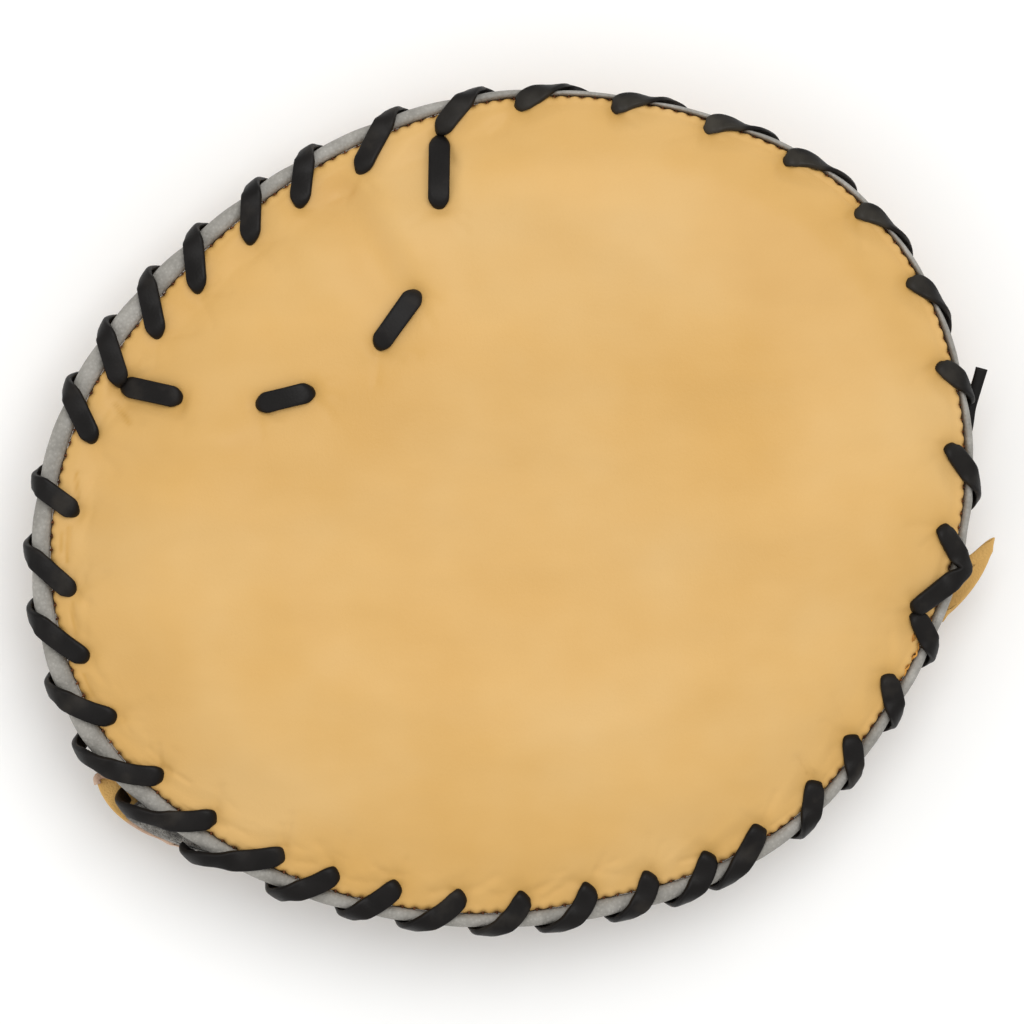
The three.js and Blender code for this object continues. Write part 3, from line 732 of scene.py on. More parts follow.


# The hide turns down into the seam, drawn in at each thread, and the lining closes it under the hand. Painted
# shade darkens it where it turns down, most at each thread, and on the wall below the seam.
def turnEdge(bm):
    edge = [e for e in bm.edges if e.is_boundary]

    def extrudeEdge(edges):
        made = bmesh.ops.extrude_edge_only(bm, edges=edges)["geom"]
        ring = [g for g in made if isinstance(g, bmesh.types.BMVert)]
        return [g for g in made if isinstance(g, bmesh.types.BMEdge)], ring

    # this layer holds painted shade, for the recess where the hide turns into the seam
    seam = bm.verts.layers.float.new("seam")
    pressed = bm.verts.layers.float["pressed"]
    for k in range(1, palm["turnSteps"] + 1):
        turn = math.pi / 2 * k / palm["turnSteps"]
        last = math.pi / 2 * (k - 1) / palm["turnSteps"]
        edge, ring = extrudeEdge(edge)
        for v in ring:
            clock = clockOf(v.co.x, v.co.y)
            pull = palm["scallop"] * threadPull(clock) * math.sin(turn)
            down = palm["turn"] * (math.cos(last) - math.cos(turn)) * palm["turnDeep"]
            out = -palm["turn"] * (1 - math.sin(turn)) - pull + palm["turnOut"] * math.sin(turn)
            v.co = rimPoint(clock, out, v.co.z - down - palm["scallopDeep"] * pull)
            turned = paintedShade["seamTurnShade"] * ease((k - 2) / (palm["turnSteps"] - 2))
            v[seam] = turned * mix(paintedShade["shadeBetweenThreads"], 1, threadPull(clock))
    for out, z in palm["wall"] + [(out, padUnder) for out in palm["liningOuts"]]:
        edge, ring = extrudeEdge(edge)
        for v in ring:
            v.co = rimPoint(clockOf(v.co.x, v.co.y), out, z)
            v[seam] = paintedShade["seamWallShade"] if out > 0 else 0.0
            v[pressed] = 0.0
    bmesh.ops.edgeloop_fill(bm, edges=edge)


def makePalm():
    bm = palmSheet()
    swellPadding(bm)
    bmesh.ops.subdivide_edges(bm, edges=bm.edges[:], cuts=1, use_grid_fill=True)
    bmesh.ops.smooth_vert(bm, verts=[v for v in bm.verts if not v.is_boundary], factor=0.5,
                          use_axis_x=True, use_axis_y=True, use_axis_z=True)
    bm.verts.index_update()
    pressLaces(bm)
    surface = BVHTree.FromBMesh(bm)
    turnEdge(bm)
    bmesh.ops.recalc_face_normals(bm, faces=bm.faces)
    piece = finishPiece(bm, "palm_hide", [finishes["tan"]], ["palm_pad"])
    return surface


palmSurface = makePalm()


# The height of the finished palm at a place.
def palmHeight(x, y):
    inset = insetOf(x, y)
    if inset < palm["turn"]:
        x, y, _ = rimPoint(clockOf(x, y), -palm["turn"] - 0.05, 0)
    hit = palmSurface.ray_cast(Vector((x, y, 100)), Vector((0, 0, -1)))[0]
    return hit.z if hit else height["seam"]


# The welt

weltRoll = {"proud": 0.5, "flat": 3.2, "strip": 6.6, "turned": 0.75, "seen": 0.55, "sides": 20, "steps": 540,
            "square": 0.95, "pinch": 0.45, "bulge": 0.35, "uneven": 0.2, "unevenRate": 0.35,
            "heldAt": 0.75, "heldReach": 2.6}  # the share of each stitch's lean where it presses on the welt


# How much a stitch of the edge lace presses on the welt at a clock angle, from 0 to 1.
def laceOver(clock):
    middles = (start + lean * weltRoll["heldAt"] for start, lean in stitches)
    return max(aroundClock(clock, middle, weltRoll["heldReach"]) for middle in middles)


# A thin ring is spun, and its section is then drawn out to the welt's.
def makeWelt():
    ring = 10  # times its section's radius
    bm = bmesh.new()
    bmesh.ops.create_circle(bm, cap_ends=False, segments=weltRoll["sides"], radius=1 / ring)
    bmesh.ops.rotate(bm, verts=bm.verts, cent=(0, 0, 0), matrix=Matrix.Rotation(math.pi / 2, 3, "X"))
    bmesh.ops.translate(bm, verts=bm.verts, vec=(1, 0, 0))
    bmesh.ops.spin(bm, geom=bm.verts[:] + bm.edges[:], axis=(0, 0, 1), cent=(0, 0, 0),
                   steps=weltRoll["steps"], angle=2 * math.pi, use_merge=True)
    for v in bm.verts:
        clock = clockOf(v.co.x, v.co.y)
        wide, tall = (v.co.xy.length - 1) * ring, v.co.z * ring
        wide, tall = squared(wide, weltRoll["square"]), squared(tall, weltRoll["square"])
        width = rimAt("welt", clock) - height["gap"]
        unseen = max(0.0, weltRoll["strip"] - weltRoll["flat"] - weltRoll["seen"] * width)
        deep = weltRoll["flat"] + weltRoll["turned"] * unseen
        held = laceOver(clock)
        uneven = noise.noise(Vector((clock * weltRoll["unevenRate"], 3.0, 0.0)))
        out = height["gap"] + width * (0.5 + 0.5 * wide) - held * weltRoll["pinch"] * max(0.0, wide)
        up = height["seam"] + weltRoll["proud"] - deep / 2 + tall * deep / 2
        bulge = weltRoll["bulge"] * (1 - held) - weltRoll["pinch"] * held + weltRoll["uneven"] * uneven
        up += max(0.0, tall) * bulge
        v.co = rimPoint(clock, out, up)
    bmesh.ops.recalc_face_normals(bm, faces=bm.faces)
    finishPiece(bm, "rim_welt_roll", [finishes["grey"]], ["rim_welt"])


makeWelt()


# The threads in the seam between the palm and its welt

seamThread = {"long": 0.75, "thick": 0.3, "slant": 24.0, "uneven": 8, "out": -0.15, "sunk": 0.7}
looseThread = {"clock": 105.7, "spread": 1.2, "count": 18, "long": 1.5, "uneven": (0.6, 1.0), "thick": 0.24,
               "outs": (-3.0, 0.4), "lifts": (0.0, 0.4), "turns": (40, 130), "tilts": (-0.2, 0.4)}
frayedThread = {"from": 104.5, "to": 112.0, "step": 0.42, "long": 1.1, "uneven": (0.7, 1.0),
                "outs": (-0.8, 0.4), "lifts": (0.0, 0.3), "turns": (-25, 25), "tilts": (-0.1, 0.2),
                "lift": 0.5, "climb": 0.9}  # climb is how fast the row climbs inwards with the hide


# One thread, a small bead drawn out along its heading.
def addThread(bm, middle, heading, long, thick):
    turn = Vector((1, 0, 0)).rotation_difference(heading).to_matrix().to_4x4()
    size = Matrix.Diagonal((long, thick, thick, 1))
    bmesh.ops.create_uvsphere(bm, u_segments=8, v_segments=6, radius=1,
                              matrix=Matrix.Translation(middle) @ turn @ size)


# A row of threads from place to place, each of the given length and thickness.
def addThreadRow(bm, places, size):
    for place, after in zip(places, places[1:]):
        addThread(bm, (place + after) / 2, (after - place).normalized(), *size)


def makeThreads():
    dice = random.Random(5)
    bm = bmesh.new()
    for k in range(threads):
        row = bisect.bisect_left(seamLengths, k / threads * seamLengths[-1])
        clock = seamClocks[row]
        slant = math.radians(seamThread["slant"] + dice.uniform(-seamThread["uneven"], seamThread["uneven"]))
        middle = rimPoint(clock, seamThread["out"], height["seam"] - seamThread["sunk"])
        heading = atClock(clock - math.degrees(slant), 1, 0)
        addThread(bm, middle, heading, seamThread["long"], seamThread["thick"])
    finishPiece(bm, "seam_threads", [finishes["thread"]])


# The seam has frayed beside the first stitch.
def makeLooseThreads():
    dice = random.Random(8)
    bm = bmesh.new()
    for _ in range(looseThread["count"]):
        clock = looseThread["clock"] + dice.uniform(-1, 1) * looseThread["spread"]
        middle = rimPoint(clock, dice.uniform(*looseThread["outs"]), 0)
        middle.z = palmHeight(middle.x, middle.y) + dice.uniform(*looseThread["lifts"])
        turned = clock + dice.uniform(*looseThread["turns"])
        heading = atClock(turned, 1, dice.uniform(*looseThread["tilts"])).normalized()
        long = looseThread["long"] * dice.uniform(*looseThread["uneven"])
        addThread(bm, middle, heading, long, looseThread["thick"])
    clock = frayedThread["from"]
    while clock < frayedThread["to"]:
        out = dice.uniform(*frayedThread["outs"])
        low = height["seam"] + frayedThread["lift"] + frayedThread["climb"] * max(0.0, -out)
        middle = rimPoint(clock, out, low + dice.uniform(*frayedThread["lifts"]))
        turned = clock + 90 + dice.uniform(*frayedThread["turns"])
        heading = atClock(turned, 1, dice.uniform(*frayedThread["tilts"])).normalized()
        long = frayedThread["long"] * dice.uniform(*frayedThread["uneven"])
        addThread(bm, middle, heading, long, looseThread["thick"])
        clock += frayedThread["step"]
    finishPiece(bm, "loose_threads", [finishes["frayed"]])


makeThreads()
makeLooseThreads()


# The laces

lace = {
    "width": 5.4, "thick": 1.7, "step": 0.55, "passes": 9, "sides": 16, "square": 0.42, "dome": 0.12,
    "uneven": 0.05, "unevenRate": 0.08,
    "roundReach": 2.4, "roundMore": 0.2, "sinkOver": 1.2,  # its round end at a hole
    "bluntClock": 160, "bluntReach": 62, "bluntMore": 1.0, "bluntHard": 0.5,  # blunter ends here
    "fineClock": 318, "fineReach": 30, "fineRound": 3.8,  # and finer ones here
    "drawnIn": 0.3, "holeThick": 1.15,
    "slim": 0.22,  # how much narrower it is outside the rim
    "tail": 0.8,  # the share of its width that the tail has
    "slimBlend": (-1.5, 2.5), "holeBlend": (4, 3), "softBlend": (0.8, 2.6),  # each one's start and stretch
    "outsideBlend": (-0.5, 2),
    "turnOver": 5,  # how far up from its run below it has turned to its run above
    "lean": 2.2, "fall": 2.2, "proud": 1.3,
    "sunk": 1.2,  # how far under the hide it turns down in its hole
    "lift": 0.2, "clear": 0.25, "clearUnder": 0.4,
    "shares": (0.04, 0.18, 0.34, 0.5, 0.66),  # the places along its way out that its route is drawn through
}
# The laces lie closer round the far side of the rim, where they are rubbed, and their tops are painted
# lighter there, for wear and for a painted highlight.
farSide = {"clock": 34, "reach": 35, "fall": 4.0, "bow": 1.6, "proud": 0.9, "low": 0.6, "on": 1.2,
           "slimMore": 1.3, "slim": 0.06, "slimBlend": (-12, 6), "thin": 0.35, "thinBlend": (-0.8, 1.2),
           "wearHighlightHigh": (-0.4, 1.2), "wearHighlightIn": (-0.5, 2)}
# Where the strap, its lining and the rim are laced together.
stack = {"clock": 228, "half": 16, "blend": 10, "deep": 4.2, "proud": 2.6}
# How far the stitches bow outwards at the bottom, at the stack and at the lower right.
bow = {"bottom": 0.7, "from": 190, "to": 262, "blend": 20,
       "stack": 1.5, "stackClock": 226, "stackReach": 14,
       "right": 2.4, "rightClock": 168, "rightReach": 27}
# How a stitch turns down outside the rim, on the near side and on the far side.
turnDown = {"brow": (0.3, 1.6), "outer": (0.45, 0.4), "on": (0.9, 3.4), "next": (0.5, 0.6)}
browShare = 0.84  # of the way out, where it starts to turn down
under = {"weltShare": 0.8, "inside": -0.5, "low": 0.3}  # its run below the rim
overWelt = height["seam"] + weltRoll["proud"] + lace["thick"] / 2 + lace["clear"]


def stackShare(clock):
    return ease(1 - (clockGap(clock, stack["clock"]) - stack["half"]) / stack["blend"])


def underRim(clock):
    return flangeLow - lace["thick"] / 2 - lace["clearUnder"] - stack["deep"] * stackShare(clock)


def onPalm(x, y, lift):
    return Vector((x, y, palmHeight(x, y) + lift))


# How much a clock angle belongs to the far side, from 0 to 1.
def farShare(clock):
    return aroundClock(clock, farSide["clock"], farSide["reach"])


# The height of what an edge lace lies on: the hide, then the welt, then the fall outside it.
def restHeight(clock, out):
    if out > -palm["turn"]:
        fall = mix(lace["fall"], farSide["fall"], farShare(clock))
        return height["seam"] + weltRoll["proud"] - fall * max(0.0, out - rimAt("welt", clock))
    x, y, _ = rimPoint(clock, out, 0)
    return max(palmHeight(x, y), height["seam"] + weltRoll["proud"])


# How a lace lies over the rim at a place: the height of its middle, and the way its face looks.
def layOn(x, y):
    clock = clockOf(x, y)
    inner, here, outer = (restHeight(clock, k * lace["lean"] - insetOf(x, y)) for k in (-1, 0, 1))
    turn = math.atan((inner - outer) / (2 * lace["lean"]))
    middle = max(here, (inner + outer) / 2) + lace["thick"] / 2 + lace["lift"]
    return middle, atClock(clock, math.sin(turn), math.cos(turn))


# How far an edge stitch bows outwards at a share of its way. On the far side it crosses the welt at once, on
# a curve that the factor 6.75 brings up to 1.
def bowAt(clock, share):
    near = bow["bottom"] * ease((clock - bow["from"]) / bow["blend"])
    near *= ease((bow["to"] - clock) / bow["blend"])
    near += bow["stack"] * aroundClock(clock, bow["stackClock"], bow["stackReach"])
    near += bow["right"] * aroundClock(clock, bow["rightClock"], bow["rightReach"])
    far = farSide["bow"] * farShare(clock)
    return near * arch(share) + far * 6.75 * share * (1 - share) ** 2


# How far out of the rim a stitch stands.
def proudAt(clock):
    atStack = aroundClock(clock, stack["clock"], stack["half"])
    return lace["proud"] + stack["proud"] * atStack - farSide["proud"] * farShare(clock)


def edgeLacePoints():
    points = []
    for k, (clock, lean) in enumerate(stitches):
        deep = -holeInset(clock)
        hole = rimPoint(clock, deep, 0)
        top = palmHeight(hole.x, hole.y)
        low = underRim(clock)
        points += [rimPoint(clock, deep, low), rimPoint(clock, deep, mix(low, top, 0.5))]
        if k == len(stitches) - 1:
            break
        points.append(rimPoint(clock, deep, top - lace["sunk"]))
        outClock = clock + lean
        welt = rimAt("welt", outClock)
        far = farShare(clock)
        outer = rimPoint(outClock, welt + proudAt(outClock), 0)
        outwards = (outer - hole).normalized().cross(Vector((0, 0, -1)))
        for share in lace["shares"]:
            place = hole.lerp(outer, share) + outwards * bowAt(clock % 360, share)
            place.z = max(layOn(place.x, place.y)[0], overWelt - farSide["low"] * far)
            points.append(place)
        brow = hole.lerp(outer, browShare) + outwards * bowAt(clock % 360, browShare)
        brow.z = overWelt - mix(*turnDown["brow"], far)
        outer = rimPoint(outClock + farSide["on"] * far, welt + proudAt(outClock), 0)
        outer.z = mix(overWelt, underRim(outClock), mix(*turnDown["outer"], far))
        onClock = outClock + mix(*turnDown["on"], far)
        nextClock = stitches[k + 1][0]
        inClock = mix(outClock, nextClock, mix(*turnDown["next"], far))
        points += [
            brow, outer,
            rimPoint(onClock, welt * under["weltShare"], underRim(outClock) - under["low"]),
            rimPoint(inClock, under["inside"], underRim(nextClock) - under["low"]),
        ]
    return points + closingPoints()


# The last stitch goes out over the welt and back: the shares of its way up and down, and each one's lift.
closing = {"apexClock": 457.0, "apexOut": 1.5, "apexLift": 0.5, "holeClock": 463.3, "inset": 4.9, "sunk": 1.0,
           "up": ((0.05, 0.25, 0.5, 0.78), 0.1), "down": ((0.8, 0.52, 0.26, 0.05), 0.7)}
tail = {"drop": 2.2, "tuckClock": 447.5, "tuckOut": -0.5,
        "exitClock": 441.0, "exitOut": -2.3, "exitShare": 0.4,
        "tipClock": 433.4, "tipRadius": 127.3, "tipZ": 25.5,
        "reach": 3, "below": 27, "blend": 2}


def closingPoints():
    hole, apexClock = closing["holeClock"], closing["apexClock"]
    apex = rimPoint(apexClock, rimAt("welt", apexClock) + closing["apexOut"], overWelt + closing["apexLift"])
    first = holeAt(stitches[-1][0])
    last = rimPoint(hole, -closing["inset"], 0)
    below = underRim(hole) - tail["drop"]
    exitOut = rimAt("welt", tail["exitClock"]) + tail["exitOut"]
    points = [first.xy.to_3d() + Vector((0, 0, palmHeight(first.x, first.y) - closing["sunk"]))]
    for start, (shares, lift) in ((first, closing["up"]), (last, closing["down"])):
        for share in shares:
            place = start.lerp(apex, share)
            place.z = layOn(place.x, place.y)[0] + lift
            points.append(place)
        if start is first:
            points.append(apex)
    return points + [
        rimPoint(hole, -closing["inset"], palmHeight(last.x, last.y) - lace["sunk"]),
        rimPoint(hole, -closing["inset"], below),
        rimPoint(tail["tuckClock"], tail["tuckOut"], below),
        rimPoint(tail["exitClock"], exitOut, mix(below, tail["tipZ"], tail["exitShare"])),
        atClock(tail["tipClock"], tail["tipRadius"], tail["tipZ"]),
    ]


# Where the runs of the edge lace over the rim and under it start and end, seen from above.
def edgeRuns():
    over, below = [], []
    for k, (clock, lean) in enumerate(stitches[:-1]):
        outer = rimPoint(clock + lean, rimAt("welt", clock + lean), 0).xy
        over.append((holes[k], outer))
        below.append((outer, holes[k + 1]))
    apex = rimPoint(closing["apexClock"], rimAt("welt", closing["apexClock"]) + closing["apexOut"], 0).xy
    last = rimPoint(closing["holeClock"], -closing["inset"], 0).xy
    over += [(holes[len(stitches) - 1], apex), (apex, last)]
    below.append((last, rimPoint(tail["tuckClock"], tail["tuckOut"], 0).xy))
    return over, below


# How much a place belongs to the loose tail, from 0 to 1.
def tailShare(place):
    tip = atClock(tail["tipClock"], tail["tipRadius"], 0)
    start = rimPoint(tail["exitClock"], rimAt("welt", tail["exitClock"]) + tail["exitOut"], 0)
    low = ease((tail["below"] - place.z) / tail["blend"])
    return bump(distanceToLine(place.x, place.y, start, tip) / tail["reach"]) * low


# A lace keeps its width across its run down into each hole. Outside the rim it faces away from the rim, and
# its tail faces up.
def awayFromRim():
    over, below = edgeRuns()

    def acrossRun(place, runs, up):
        start, end = min(runs, key=lambda run: distanceToLine(place.x, place.y, *run))
        return (end - start).to_3d().normalized().cross(up)

    def outOf(place, along):
        high = rise(place.z, padUnder, lace["turnOver"])
        acrossOver = acrossRun(place, over, layOn(place.x, place.y)[1])
        across = acrossRun(place, below, Vector((0, 0, -1))).lerp(acrossOver, high)
        clock = clockOf(place.x, place.y)
        welt = rimAt("welt", clock)
        core = rimPoint(clock, (welt - rimAt("inset", clock)) / 2, (overWelt + underRim(clock)) / 2)
        outside = rise(-welt - insetOf(place.x, place.y), *lace["outsideBlend"])
        way = across.cross(along).normalized().lerp((place - core).normalized(), outside)
        return way.lerp(Vector((0, 0, 1)), tailShare(place))

    return outOf


# A lace is drawn in to a round end where it goes through a hole, and is never quite even.
def laceSize(holeTops, fineEnds):
    tree = kdtree.KDTree(len(holeTops))
    for k, top in enumerate(holeTops):
        tree.insert(top, k)
    tree.balance()

    def sizeAt(place, gone):
        top, _, away = tree.find(place)
        off = (top.xy - place.xy).length
        atHole = 1 - rise(away, *lace["holeBlend"])
        clock = clockOf(place.x, place.y)
        blunt = aroundClock(clock, lace["bluntClock"], lace["bluntReach"])
        fine = aroundClock(clock, lace["fineClock"], lace["fineReach"]) * fineEnds
        reach = mix(lace["roundReach"], lace["fineRound"], fine)
        end = 1 - clamp(off / reach)
        soft = (1 - rise(off, *lace["softBlend"])) * atHole * (1 - lace["bluntHard"] * blunt)
        radius = reach + lace["roundMore"] + lace["bluntMore"] * blunt
        rounded = 1 - math.sqrt(1 - (end * reach / radius) ** 2)
        sunk = clamp(top.z - place.z) * ease((lace["roundReach"] - off) / lace["sinkOver"])
        drawnIn = max(rounded, sunk * lace["drawnIn"]) * atHole
        uneven = 1 + lace["uneven"] * noise.noise(Vector((gone * lace["unevenRate"], 7.0, 0.0)))
        past = -insetOf(place.x, place.y) - rimAt("welt", clock)
        far = farShare(clock)
        slim = 1 - lace["slim"] * rise(past, *lace["slimBlend"]) * (1 + farSide["slimMore"] * far)
        slim -= farSide["slim"] * far * rise(past, *farSide["slimBlend"])
        width = lace["width"] / 2 * (1 - drawnIn) * uneven * slim * mix(1, lace["tail"], tailShare(place))
        thick = lace["thick"] / 2 * mix(1, lace["holeThick"], end * atHole)
        thick *= 1 - farSide["thin"] * far * rise(past, *farSide["thinBlend"])
        return width, thick, -lace["dome"], mix(lace["square"], 1, soft)

    return sizeAt


# Pulls a lace through points, with its round ends at the given holes.
def pullLace(points, places, outOf, fineEnds):
    route = eased(curveThrough(points, lace["step"]), lace["passes"])
    tops = [onPalm(*place, 0) for place in places]
    bm = bmesh.new()
    pullAlong(bm, route, lace["sides"], outOf, laceSize(tops, fineEnds))
    return bm


def makeEdgeLace():
    lastHole = rimPoint(closing["holeClock"], -closing["inset"], 0).xy
    bm = pullLace(edgeLacePoints(), [*holes[:len(stitches)], lastHole], awayFromRim(), 1)
    # a lighter top on the far side: wear, with painted highlight where the light falls on the lace
    wearAndHighlight = bm.verts.layers.float.new("wearAndHighlight")  # on top, where the lace is rubbed on the far side
    for v in bm.verts:
        clock = clockOf(v.co.x, v.co.y)
        inwards = insetOf(v.co.x, v.co.y) + rimAt("welt", clock)
        onTop = rise(v.co.z - overWelt, *farSide["wearHighlightHigh"])
        v[wearAndHighlight] = farShare(clock) * onTop * rise(inwards, *farSide["wearHighlightIn"])
    finishPiece(bm, "edge_lace_thong", [finishes["black"]], ["edge_lace"])


webLace = {"under": 1.4, "sunk": 1.0, "endDown": 5, "lift": 0.62, "shares": (0.03, 0.2, 0.4, 0.6, 0.8, 0.97),
           "corner": 0.8}


def webLacePoints():
    low = padUnder - webLace["under"]
    points = []
    for k, hole in enumerate(webHoles):
        over = onPalm(*hole, -webLace["sunk"])
        below = Vector((*hole, low if 0 < k < len(webHoles) - 1 else low - webLace["endDown"]))
        if k % 2:
            points += [over, below]
            if k < len(webHoles) - 1:
                after = webHoles[k + 1]
                points.append(Vector((mix(hole[0], after[0], 0.5), mix(hole[1], after[1], 0.5), low)))
            continue
        points += [below, over]
        after = webHoles[k + 1]
        for share in webLace["shares"]:
            x, y = mix(hole[0], after[0], share), mix(hole[1], after[1], share)
            points.append(onPalm(x, y, lace["thick"] * webLace["lift"]))
    return points


def acrossWeb(place, along):
    reach = min(distanceToLine(place.x, place.y, a, b) for a, b in webRuns) + webLace["corner"]
    near = [(a, b) for a, b in webRuns if distanceToLine(place.x, place.y, a, b) < reach]
    across = sum((Vector((a[1] - b[1], b[0] - a[0], 0)).normalized() for a, b in near), Vector())
    return across.cross(along)


def makeWebLace():
    bm = pullLace(webLacePoints(), webHoles, acrossWeb, 0)
    finishPiece(bm, "web_lace_thong", [finishes["black"]], ["web_lace"])


makeEdgeLace()
makeWebLace()


# The back

back = {"cells": 168, "flange": 10, "wall": 44, "held": 0.5, "dent": 0.9, "dentReach": 2.4,
        "uneven": 0.8, "unevenReach": 17}
cuff = {"y": -26, "slope": 0.262, "scoop": 15, "half": 105, "lip": 5.0, "lipReach": 16}
cuffRoll = {"width": 3.0, "height": 3.6, "square": 0.85, "sides": 14, "points": 60, "step": 1.5,
            "fromRim": 18, "row": 3.2, "threads": 46, "thread": (1.4, 0.32)}


def cuffLine(x):
    return cuff["y"] + cuff["slope"] * x + cuff["scoop"] * max(0.0, 1 - (x / cuff["half"]) ** 2)


def backLow(x, y):
    down = rise(insetOf(x, y), back["flange"], back["wall"])
    lip = cuff["lip"] * ease(1 - (y - cuffLine(x)) / cuff["lipReach"])
    return flangeLow * (1 - down) + lip * down


def makeBack():
    bm = roundSheet(back["cells"])
    held = back["flange"] + back["held"]

    def inMouth(place):
        return insetOf(place.x, place.y) > held and place.y < cuffLine(place.x)

    rimEdge = {v for v in bm.verts if v.is_boundary}
    gone = [f for f in bm.faces if inMouth(f.calc_center_median())]
    bmesh.ops.delete(bm, geom=gone, context="FACES")
    for v in bm.verts:
        if v.is_boundary and v not in rimEdge:
            place = rimPoint(clockOf(v.co.x, v.co.y), -held, 0)
            if abs(v.co.y - cuffLine(v.co.x)) < (place - v.co.xyz).length:
                v.co.y = cuffLine(v.co.x)
            else:
                v.co = place
    rimHoles = holes[:len(stitches)]
    for v in bm.verts:
        v.co.z = backLow(v.co.x, v.co.y)
        risen = v.co.z / flangeLow
        spot = Vector((v.co.x / back["unevenReach"], v.co.y / back["unevenReach"], 4.0))
        soft = 0.5 + 0.5 * noise.noise(spot)
        near = back["flange"]
        if insetOf(v.co.x, v.co.y) <= back["flange"]:
            near = min((v.co.xy - hole).length for hole in rimHoles)
        dented = bump(near / back["dentReach"])
        v.co.z += back["uneven"] * soft * arch(risen) + back["dent"] * dented
    faceDown(bm)
    piece = finishPiece(bm, "back_hide", [finishes["tan"], finishes["raw"]], ["back_shell"])
    wall = piece.modifiers.new("wall", "SOLIDIFY")
    wall.thickness = height["leather"] * mm
    wall.offset = -1
    wall.use_even_offset = True
    wall.material_offset_rim = 1


# How far the roll reaches along the cuff, from left to right, to the nearest millimetre.
def cuffSpan():
    widest = 140
    span = [x for x in range(-widest, widest + 1) if insetOf(x, cuffLine(x)) > cuffRoll["fromRim"]]
    return span[0], span[-1]


def faceUp(place, along):
    return Vector((0, 0, 1))


def makeCuffRoll():
    left, right = cuffSpan()
    points = []
    for k in range(cuffRoll["points"] + 1):
        x = mix(left, right, k / cuffRoll["points"])
        slope = Vector((2, cuffLine(x + 1) - cuffLine(x - 1), 0)).normalized()
        out = Vector((slope.y, -slope.x, 0)) * (height["gap"] + cuffRoll["width"] / 2)
        points.append(Vector((x, cuffLine(x), backLow(x, cuffLine(x)) + height["leather"] / 2)) + out)
    bm = bmesh.new()
    size = (cuffRoll["width"] / 2, cuffRoll["height"] / 2, 0, cuffRoll["square"])
    pullAlong(bm, curveThrough(points, cuffRoll["step"]), cuffRoll["sides"], faceUp, lambda place, gone: size)
    finishPiece(bm, "cuff_roll", [finishes["grey"]], ["cuff_welt"])


# The row of threads that holds the roll to the back.
def makeCuffThreads():
    left, right = cuffSpan()
    bm = bmesh.new()
    places = []
    for k in range(cuffRoll["threads"] + 1):
        x = mix(left, right, k / cuffRoll["threads"])
        y = cuffLine(x) + cuffRoll["row"]
        places.append(Vector((x, y, backLow(x, y))))
    addThreadRow(bm, places, cuffRoll["thread"])
    finishPiece(bm, "cuff_threads", [finishes["thread"]])


makeBack()
makeCuffRoll()
makeCuffThreads()


# The wrist strap and its lining

strap = {"left": 20.7, "right": 16.2, "flatHalf": 0.16, "rimLeft": 0.38, "rimRight": 0.4, "flare": 18,
         "widen": 8, "leafDrop": 3.8, "leafTip": 0.035, "leafEnd": 0.22,
         "cellsAlong": 200, "cellsAcross": 36, "bevel": 0.5, "bevelShare": 0.35, "sharp": 1.0,
         "hideLeft": 12.5, "fadeLeft": 2.5, "hideRight": 96, "fadeRight": 8}
strapEnds = {
    "left": [(-102.6, -67.3), (-96.3, -77.6), (-81.6, -85.0)],
    "right": [(126.0, -6.4), (121.4, -18.0), (111.4, -28.6)],
}
felt = {"thick": 1.5, "margin": 0.02, "corner": 0.042, "start": 0.006, "end": 0.9, "cornerAcross": 0.3,
        "cornerOver": 0.2, "beyond": 0.46, "beyondTo": 0.13}
strapThread = {"rows": (0.1, 0.9), "from": 0.05, "to": 0.88, "count": 44, "groove": 0.33, "reach": 0.05,
               "thread": (1.4, 0.3)}
curl = {"lift": 0.9, "half": (0.95, 0.8), "step": 0.4, "passes": 3, "sides": 14,
        "places": [(-102.0, -69.0), (-102.3, -67.4), (-101.0, -66.6), (-98.6, -67.0), (-95.4, -68.2)]}


def bent(a, b, c, t):
    return a + t * (4 * b - 3 * a - c + t * (2 * a - 4 * b + 2 * c))


# The right end is a leaf: its upper edge drops away from the tip.
def strapPlace(along, across):
    left, right = ([bent(*column, across) for column in zip(*strapEnds[end])] for end in ("left", "right"))
    widen = strap["widen"] * math.sin(math.pi * along) * (0.5 - across)
    leaf = ease((1 - along) / strap["leafTip"]) * ease(1 - (1 - along - strap["leafTip"]) / strap["leafEnd"])
    leaf *= strap["leafDrop"] * (1 - across) ** 2
    return mix(left[0], right[0], along), mix(left[1], right[1], along) + widen - leaf


def strapLow(along):
    off = abs(along - 0.5)
    top, rimAway = (strap["left"], strap["rimLeft"]) if along < 0.5 else (strap["right"], strap["rimRight"])
    flare = 0 if along < 0.5 else strap["flare"] * max(0.0, off - rimAway)
    return top * rise(off, strap["flatHalf"], rimAway - strap["flatHalf"]) + flare


# The strap's lower face, drawn in along its rows of threads.
def strapUnder(along, across):
    groove = max(bump((across - row) / strapThread["reach"]) for row in strapThread["rows"])
    return Vector((*strapPlace(along, across), strapLow(along) + strapThread["groove"] * groove))


# A sheet of the strap with its thickness upwards. placeAt turns a share along and across into a place.
def strapSheet(bm, thick, placeAt):
    bmesh.ops.create_grid(bm, x_segments=strap["cellsAlong"], y_segments=strap["cellsAcross"], size=1)
    for v in bm.verts:
        v.co = placeAt((v.co.x + 1) / 2, (1 - v.co.y) / 2)
    faceDown(bm)
    bmesh.ops.solidify(bm, geom=bm.faces[:], thickness=thick)
    bm.normal_update()
    bmesh.ops.recalc_face_normals(bm, faces=bm.faces)
    corners = [e for e in bm.edges if len(e.link_faces) == 2 and e.calc_face_angle() > strap["sharp"]]
    bmesh.ops.bevel(bm, geom=corners, offset=min(strap["bevel"], thick * strap["bevelShare"]), segments=3,
                    profile=0.5, affect="EDGES", material=-1)


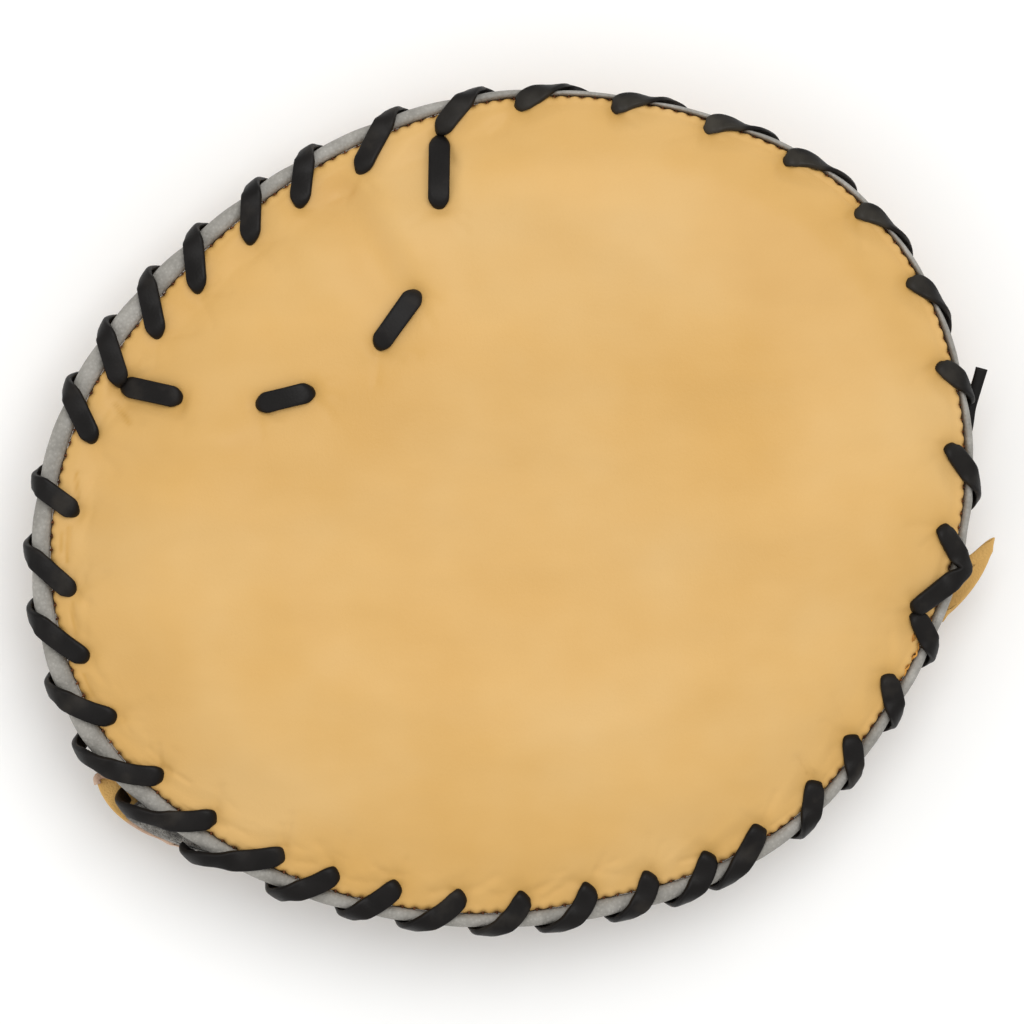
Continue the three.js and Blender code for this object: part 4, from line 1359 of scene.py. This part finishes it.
def makeStrap():
    bm = bmesh.new()
    strapSheet(bm, height["leather"], strapUnder)
    hideSide = bm.verts.layers.float.new("hideSide")
    corner = Vector((*strapEnds["left"][0], 0))
    for f in bm.faces:
        f.material_index = 0 if f.normal.z < -0.5 else 1
    for v in bm.verts:
        away = (Vector((v.co.x, v.co.y, 0)) - corner).length
        if v.co.x < 0:
            v[hideSide] = 1 - rise(away, strap["hideLeft"], strap["fadeLeft"])
        else:
            v[hideSide] = 1 - ease((strap["hideRight"] - v.co.x) / strap["fadeRight"])
    finishPiece(bm, "wrist_strap_hide", [finishes["tan"], finishes["raw"]], ["wrist_strap"])


def feltPlace(along, across):
    far = 1 - felt["margin"] + felt["beyond"] * ease(1 - along / felt["beyondTo"])
    across = mix(felt["margin"], far, across)
    start = mix(felt["corner"], felt["start"], rise(across, felt["cornerAcross"], felt["cornerOver"]))
    along = mix(start, felt["end"], along)
    return Vector((*strapPlace(along, across), strapLow(along) + height["leather"] + height["gap"]))


def makeFelt():
    bm = bmesh.new()
    strapSheet(bm, felt["thick"], feltPlace)
    finishPiece(bm, "strap_felt", [finishes["felt"]], ["strap_lining"])


# The curled end of the strap at the lower left, its raw side outwards.
def makeStrapCurl():
    low = strapLow(0.0) + height["leather"] + curl["lift"]
    points = [Vector((x, y, low)) for x, y in curl["places"]]
    route = eased(curveThrough(points, curl["step"]), curl["passes"])
    bm = bmesh.new()
    pullAlong(bm, route, curl["sides"], faceUp, lambda place, gone: (*curl["half"], 0, 1))
    finishPiece(bm, "strap_curl", [finishes["raw"]])


# A row of threads along each side of the strap, which holds its lining.
def makeStrapThreads():
    bm = bmesh.new()
    for across in strapThread["rows"]:
        places = []
        for k in range(strapThread["count"] + 1):
            along = mix(strapThread["from"], strapThread["to"], k / strapThread["count"])
            places.append(strapUnder(along, across))
        addThreadRow(bm, places, strapThread["thread"])
    finishPiece(bm, "strap_threads", [finishes["thread"]])


makeStrap()
makeFelt()
makeStrapCurl()
makeStrapThreads()


# The floor, the light and the camera

studio = {
    "floor": (0.90, 0.90, 0.89, 1), "floorRadius": 6, "world": 0.80,
    "lamps": {  # the place, size and power of each
        "key": ((0.30, 0.50, 1.50), 1.1, 12.0),
        "fill": ((-1.1, -0.5, 1.0), 1.2, 3.0),
    },
    "aim": (0, 0, 0.03),
    "distance": 1.5, "lens": 209.0, "middle": (3.02, 0.0, 31.0),
}


def makeStudio():
    bm = bmesh.new()
    bmesh.ops.create_circle(bm, cap_ends=True, segments=64, radius=studio["floorRadius"])
    mesh = bpy.data.meshes.new("floor")
    bm.to_mesh(mesh)
    bm.free()
    floor = addObject("floor", mesh)
    material, _, _ = newMaterial("pale_floor", {"Base Color": studio["floor"], "Roughness": 0.9})
    mesh.materials.append(material)
    floor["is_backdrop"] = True

    world = bpy.data.worlds.new("studio")
    world.use_nodes = True
    world.node_tree.nodes["Background"].inputs["Color"].default_value = (1, 1, 1, 1)
    world.node_tree.nodes["Background"].inputs["Strength"].default_value = studio["world"]
    bpy.context.scene.world = world

    for name, (place, size, power) in studio["lamps"].items():
        light = bpy.data.lights.new(name, "AREA")
        light.size = size
        light.energy = power
        lamp = addObject(name, light)
        lamp.location = place
        lamp.rotation_euler = (Vector(studio["aim"]) - Vector(place)).to_track_quat("-Z", "Y").to_euler()

    camera = bpy.data.cameras.new("camera")
    camera.lens = studio["lens"]
    camera.sensor_width = 36
    camera.clip_end = 20
    seen = addObject("camera", camera)
    middle = (Vector(studio["middle"]) + shift) * mm
    seen.location = middle + Vector((0, 0, studio["distance"]))
    bpy.context.scene.camera = seen
    bpy.context.scene.view_settings.view_transform = "Standard"


makeStudio()

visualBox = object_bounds()
boxes = {"cad": cadBox, "visual": visualBox}
{name: [list(corner) for corner in box] for name, box in boxes.items()}
print("glove: done")
